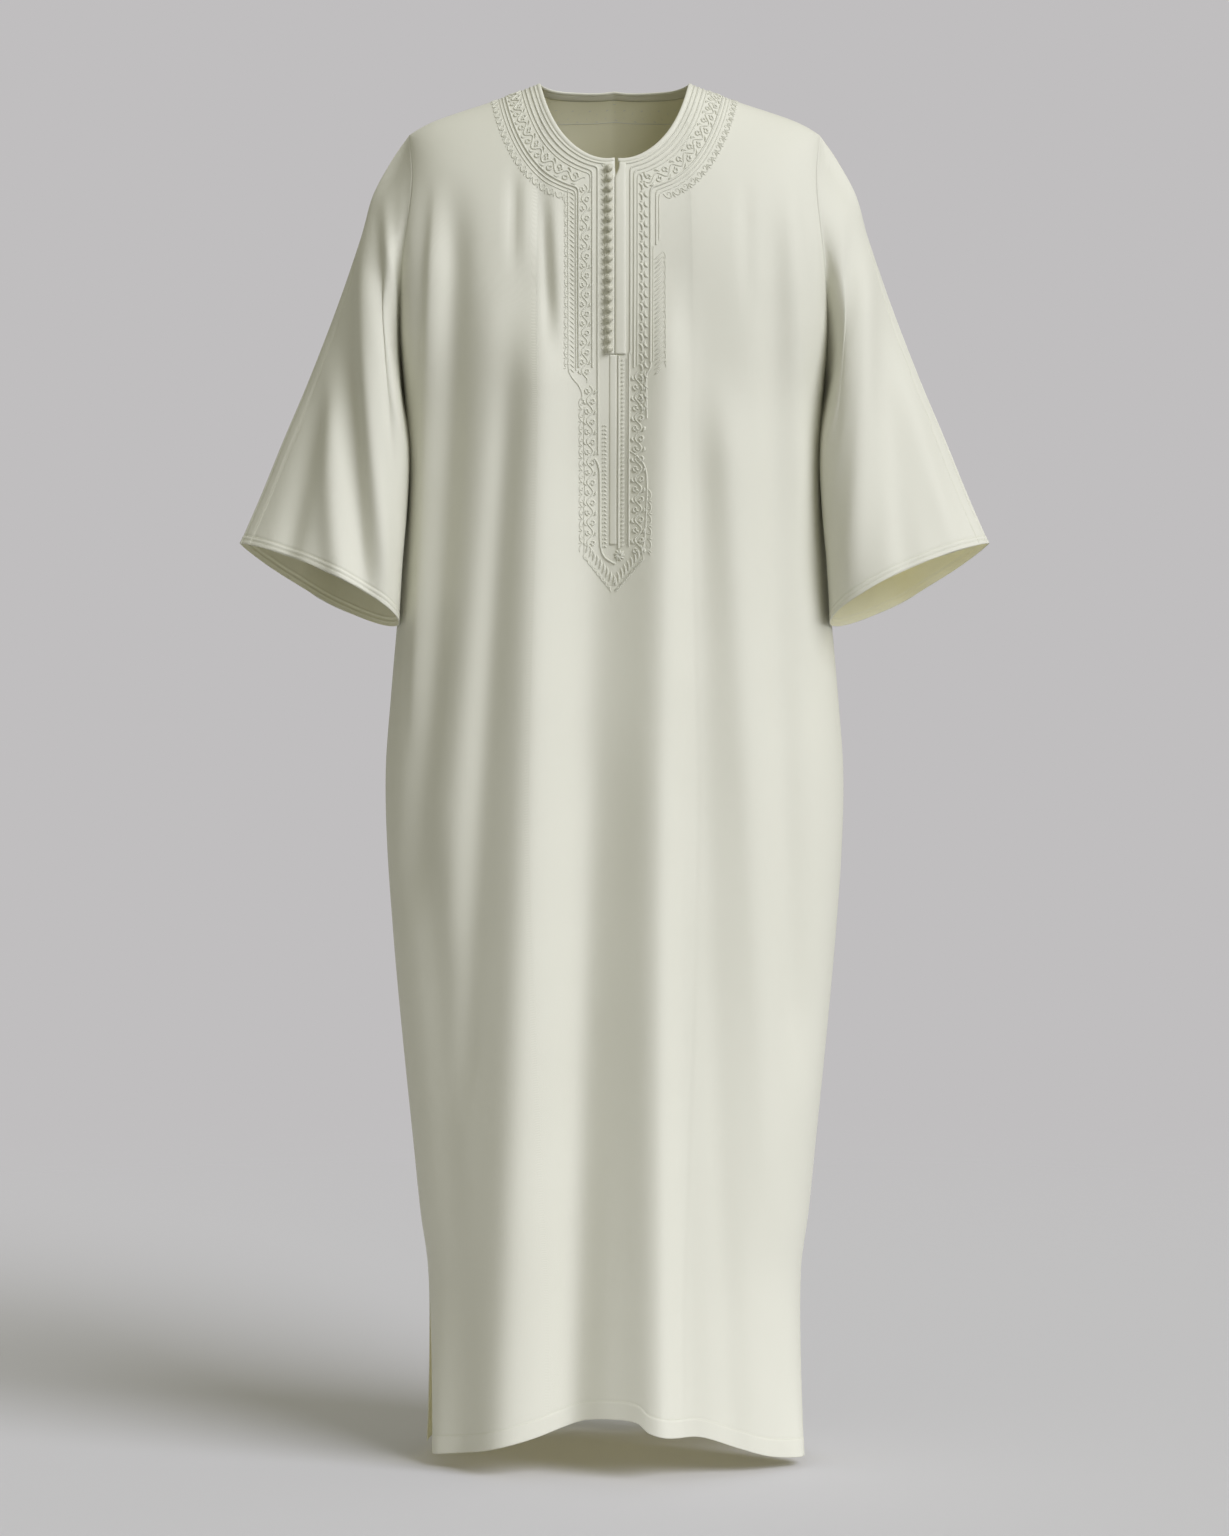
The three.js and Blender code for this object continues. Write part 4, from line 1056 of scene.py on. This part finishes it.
# Cords that come round the neck and turn down the front, one row for each: the width outside the neck's edge, the
# places where the right and left ends turn down, how far down each goes, and the radius.
NECK_CORDS = table(
    "width rightX rightEnd leftX leftEnd radius",
    [
        (5.6, 12.6, -92, -10.6, -92, 0.9),
        (9.8, 16.4, -286, -17.0, -286, 1.1),
        (14.6, 20.2, -300, -22.6, -300, 1.0),
        (18.4, 23.6, -300, -24.6, -122, 0.7),
        (35.2, 36.9, -297, -36.6, -300, 1.2),
        (38.8, 42.6, -176, -39.4, -304, 0.85),
        (42.2, 45.6, -172, -42.4, -118, 0.6),
    ],
)
neck_lines = []
for width, right_x, right_end, left_x, left_end, radius in zip(*NECK_CORDS.values()):
    half = NECK["half"] + width
    start, end = math.asin(right_x / half), 2 * math.pi + math.asin(left_x / half)
    round_points, _ = on_neck(np.linspace(start, end, 230), width, radius * SUNK)
    ends = []
    for x, z_end, z_start in ((right_x, right_end, round_points[0, 2]), (left_x, left_end, round_points[-1, 2])):
        z = np.arange(z_start - 2, z_end, -2.5)
        ends.append(on_front(np.full(z.shape, x), z, radius * SUNK)[0] if len(z) else np.zeros((0, 3)))
    neck_lines.append((eased(np.concatenate([ends[0][::-1], round_points, ends[1]])), radius))
NECK_STEM = {"width": 27, "ends": 30}
NECK_EDGE = {"width": 46, "ends": 50, "foot": 44.6}
shapes = []
turn, length = round_neck(NECK_STEM["width"], NECK_STEM["ends"], -NECK_STEM["ends"])
for across, along, radius in vine(length[-1], 6.6, 19.5, 1.15):
    shapes.append((np.interp(along, length, turn), NECK_STEM["width"] + across, radius))
turn, length = round_neck(NECK_EDGE["width"], NECK_EDGE["ends"], -NECK_EDGE["ends"])
for across, along, radius in scallops(length[-1], 9.8, 5.4, 0.62):
    shapes.append((np.interp(along, length, turn), NECK_EDGE["foot"] + across, radius))
neck_lines += laid(shapes, on_neck)
neck_mesh = grow("neck_embroidery", neck_lines, cording, Sides=8, Material=silk)
trims.append(add_piece("neck_embroidery", neck_mesh, silk, "cord", "neck_cord_inner", "neck_cord_outer"))

# Down the front the bands of cords, leaves and hatching go on beside the slit, and narrow below it to a tip.
FRONT_CORDS = (
    ((-17.0, -284), (-16.6, -388), 1.1),
    ((4.4, -288), (4.4, -484), 1.25),
    ((15.2, -284), (15.0, -482), 1.1),
    ((12.6, -290), (12.6, -480), 0.55),
    ((-47.4, -118), (-47.2, -300), 0.65),
    ((39.6, -176), (39.6, -294), 0.55),
)
shapes = []
for (x0, z0), (x1, z1), radius in FRONT_CORDS:
    s = np.linspace(0, 1, int(abs(z1 - z0) / 2.5) + 1)
    shapes.append((x0 + (x1 - x0) * s, z0 + (z1 - z0) * s, np.full(s.shape, radius)))
# Curved cords: where the bands draw in, the cord that turns under to the flower, and the one that crosses over.
BENT_CORDS = (
    ((-47.2, -298), (-46.6, -305), (-42, -312), (-37, -317), (-33.4, -324), (-32.6, -333), 0.8),
    ((37.4, -295), (36.6, -301), (33, -306), (32.4, -314), (32.8, -330), (33.2, -352), 0.9),
    ((-20.6, -392), (-17.4, -396), (-15, -404), (-14.8, -430), (-14.8, -470), (-14.4, -482), 1.15),
    ((-14.4, -480), (-13, -488), (-9.6, -493.5), (-6, -496), (-2, -498.5), (1, -499.5), 1.15),
    ((16.4, -385), (21, -388), (26, -393), (31, -400), (33, -410), (33.4, -424), 0.95),
    ((33.4, -422), (33, -436), (32.4, -450), (31.6, -466), (30.2, -480), (28.6, -492), 0.8),
    ((-30.6, -340), (-31.4, -380), (-30.4, -420), (-31.6, -452), (-31, -478), (-31.4, -494), 0.6),
)
for *knots, radius in BENT_CORDS:
    knots = np.array(knots, float)
    s = np.linspace(0, len(knots) - 1, 5 * len(knots))
    curve = eased(np.stack([np.interp(s, np.arange(len(knots)), knots[:, k]) for k in (0, 1)], -1), 4)
    shapes.append((curve[:, 0], curve[:, 1], np.full(len(curve), radius)))
# Rows of leaves and short strokes run down the front: bent leaves right of the slit, and slanting strokes beside
# the cords. A row is repeated every pitch from its top to its end.
LEAVES = table(
    "top end pitch x below length bend thick angle flip",
    [
        (-100, -346, 10.3, 28.4, 8.6, 9.2, 2.2, 1.35, 0.42, 1),
        (-100, -346, 10.3, 34.4, 5.2, 8.4, -2.0, 1.25, 0.3, 1),
        (-100, -346, 10.3, 26.0, 9.4, 4.2, 0.8, 0.7, -1.0, 1),
        (-94, -286, 5.1, -11.0, 0, 4.0, 0.4, 0.5, 0.8, 1),
        (-124, -306, 4.9, -41.2, 0, 6.4, 0.5, 0.6, 0.85, 1),
        (-292, -484, 4.3, 6.6, 1, 4.6, 0.3, 0.95, -0.85, 1),
        (-360, -484, 4.1, -8.0, 0, 3.6, 0.2, 0.75, 0.9, 1),
        (-360, -484, 4.1, -12.6, 0, 3.6, 0.2, 0.75, 0.9, -1),
    ],
)
for top, end, pitch, x, below, length, bend, thick, angle, flip in zip(*LEAVES.values()):
    shape = turned(leaf(length, bend, thick), angle, flip)
    shapes += [put(shape, x, z - below) for z in np.arange(top, end, -pitch)]
# Hatching outside the right cord grows shorter towards its low end.
HATCH = {"top": -184, "end": -306, "pitch": 4.7, "x": 40.6, "longest": 13}
for z in np.arange(HATCH["top"], HATCH["end"], -HATCH["pitch"]):
    stroke = leaf(min(HATCH["longest"], (z - HATCH["end"]) * 1.2 + 5), 0.4, 0.85)
    shapes.append(put(turned(stroke, -0.8), HATCH["x"], z - 6))
# Winding stems fill the broad bands, and arches edge them: how long, how wide and often, how thick, and where.
BANDS = (
    (vine, 204, 6.0, 19.6, 1.0, -30.6, -112, 1),
    (vine, 174, 6.2, 20.6, 1.05, -25.2, -318, 1),
    (vine, 188, 6.6, 20.8, 1.15, 24.4, -304, -1),
    (scallops, 176, 10.4, 3.4, 0.5, -47.8, -124, -1),
    (scallops, 118, 10.2, 2.2, 0.45, 50.0, -182, 1),
    (scallops, 158, 12.4, 3.8, 0.6, -32.4, -330, -1),
    (scallops, 68, 12.8, 3.8, 0.6, 33.4, -424, 1),
)
for motif, *sizes, x, top, flip in BANDS:
    shapes += to_front(motif(*sizes), x, top, flip)
# A flower, and a tip that is a V of bold slanting strokes like a rope, edged with arches.
FLOWER = {"petals": 9, "x": 5.2, "z": -491}
for k in range(FLOWER["petals"]):
    petal = turned(leaf(6.4, 0.8, 1.25), k * 2 * math.pi / FLOWER["petals"])
    shapes.append(put(petal, FLOWER["x"], FLOWER["z"]))
TIP = {"left": (-31.6, -490), "low": (-0.6, -527), "right": (29.2, -493)}
for name, side in (("left", 1), ("right", -1)):
    (x0, z0), (x1, z1) = TIP[name], TIP["low"]
    length, slope = math.hypot(x1 - x0, z1 - z0), math.atan2(z1 - z0, x1 - x0)
    c, s = math.cos(slope), math.sin(slope)
    for across, along, radius in scallops(length, 7.2, 2.6, 0.6):
        shapes.append((x0 + along * c + side * across * s, z0 + along * s - side * across * c, radius))
    for f in np.linspace(0.0, 0.9, 9):
        bar = turned(leaf(11.5, 1.6, 1.15), -0.15 * side)
        shapes.append(put(bar, x0 + (x1 - x0) * f + side * 1.5, z0 + (z1 - z0) * f + 1.2))
front_mesh = grow("front_embroidery", laid(shapes, on_front), cording, Sides=7, Material=silk)
front_nodes = ["placket_cord_right", "placket_cord_left", "border_cord_right", "border_cord_left"]
front_nodes += ["lower_cord_left", "lower_cord_middle", "lower_cord_right"]
trims.append(add_piece("front_embroidery", front_mesh, silk, "cord", *front_nodes))

# Hems, cuffs, slit edges and sleeve seams are sewn down with rows of short stitches.
stitch_mesh = grow("stitches", [(line, 0.2) for line in sewn], stitching, Seed=7, Material=sewing)
trims.append(add_piece("stitches", stitch_mesh, sewing, "cord"))
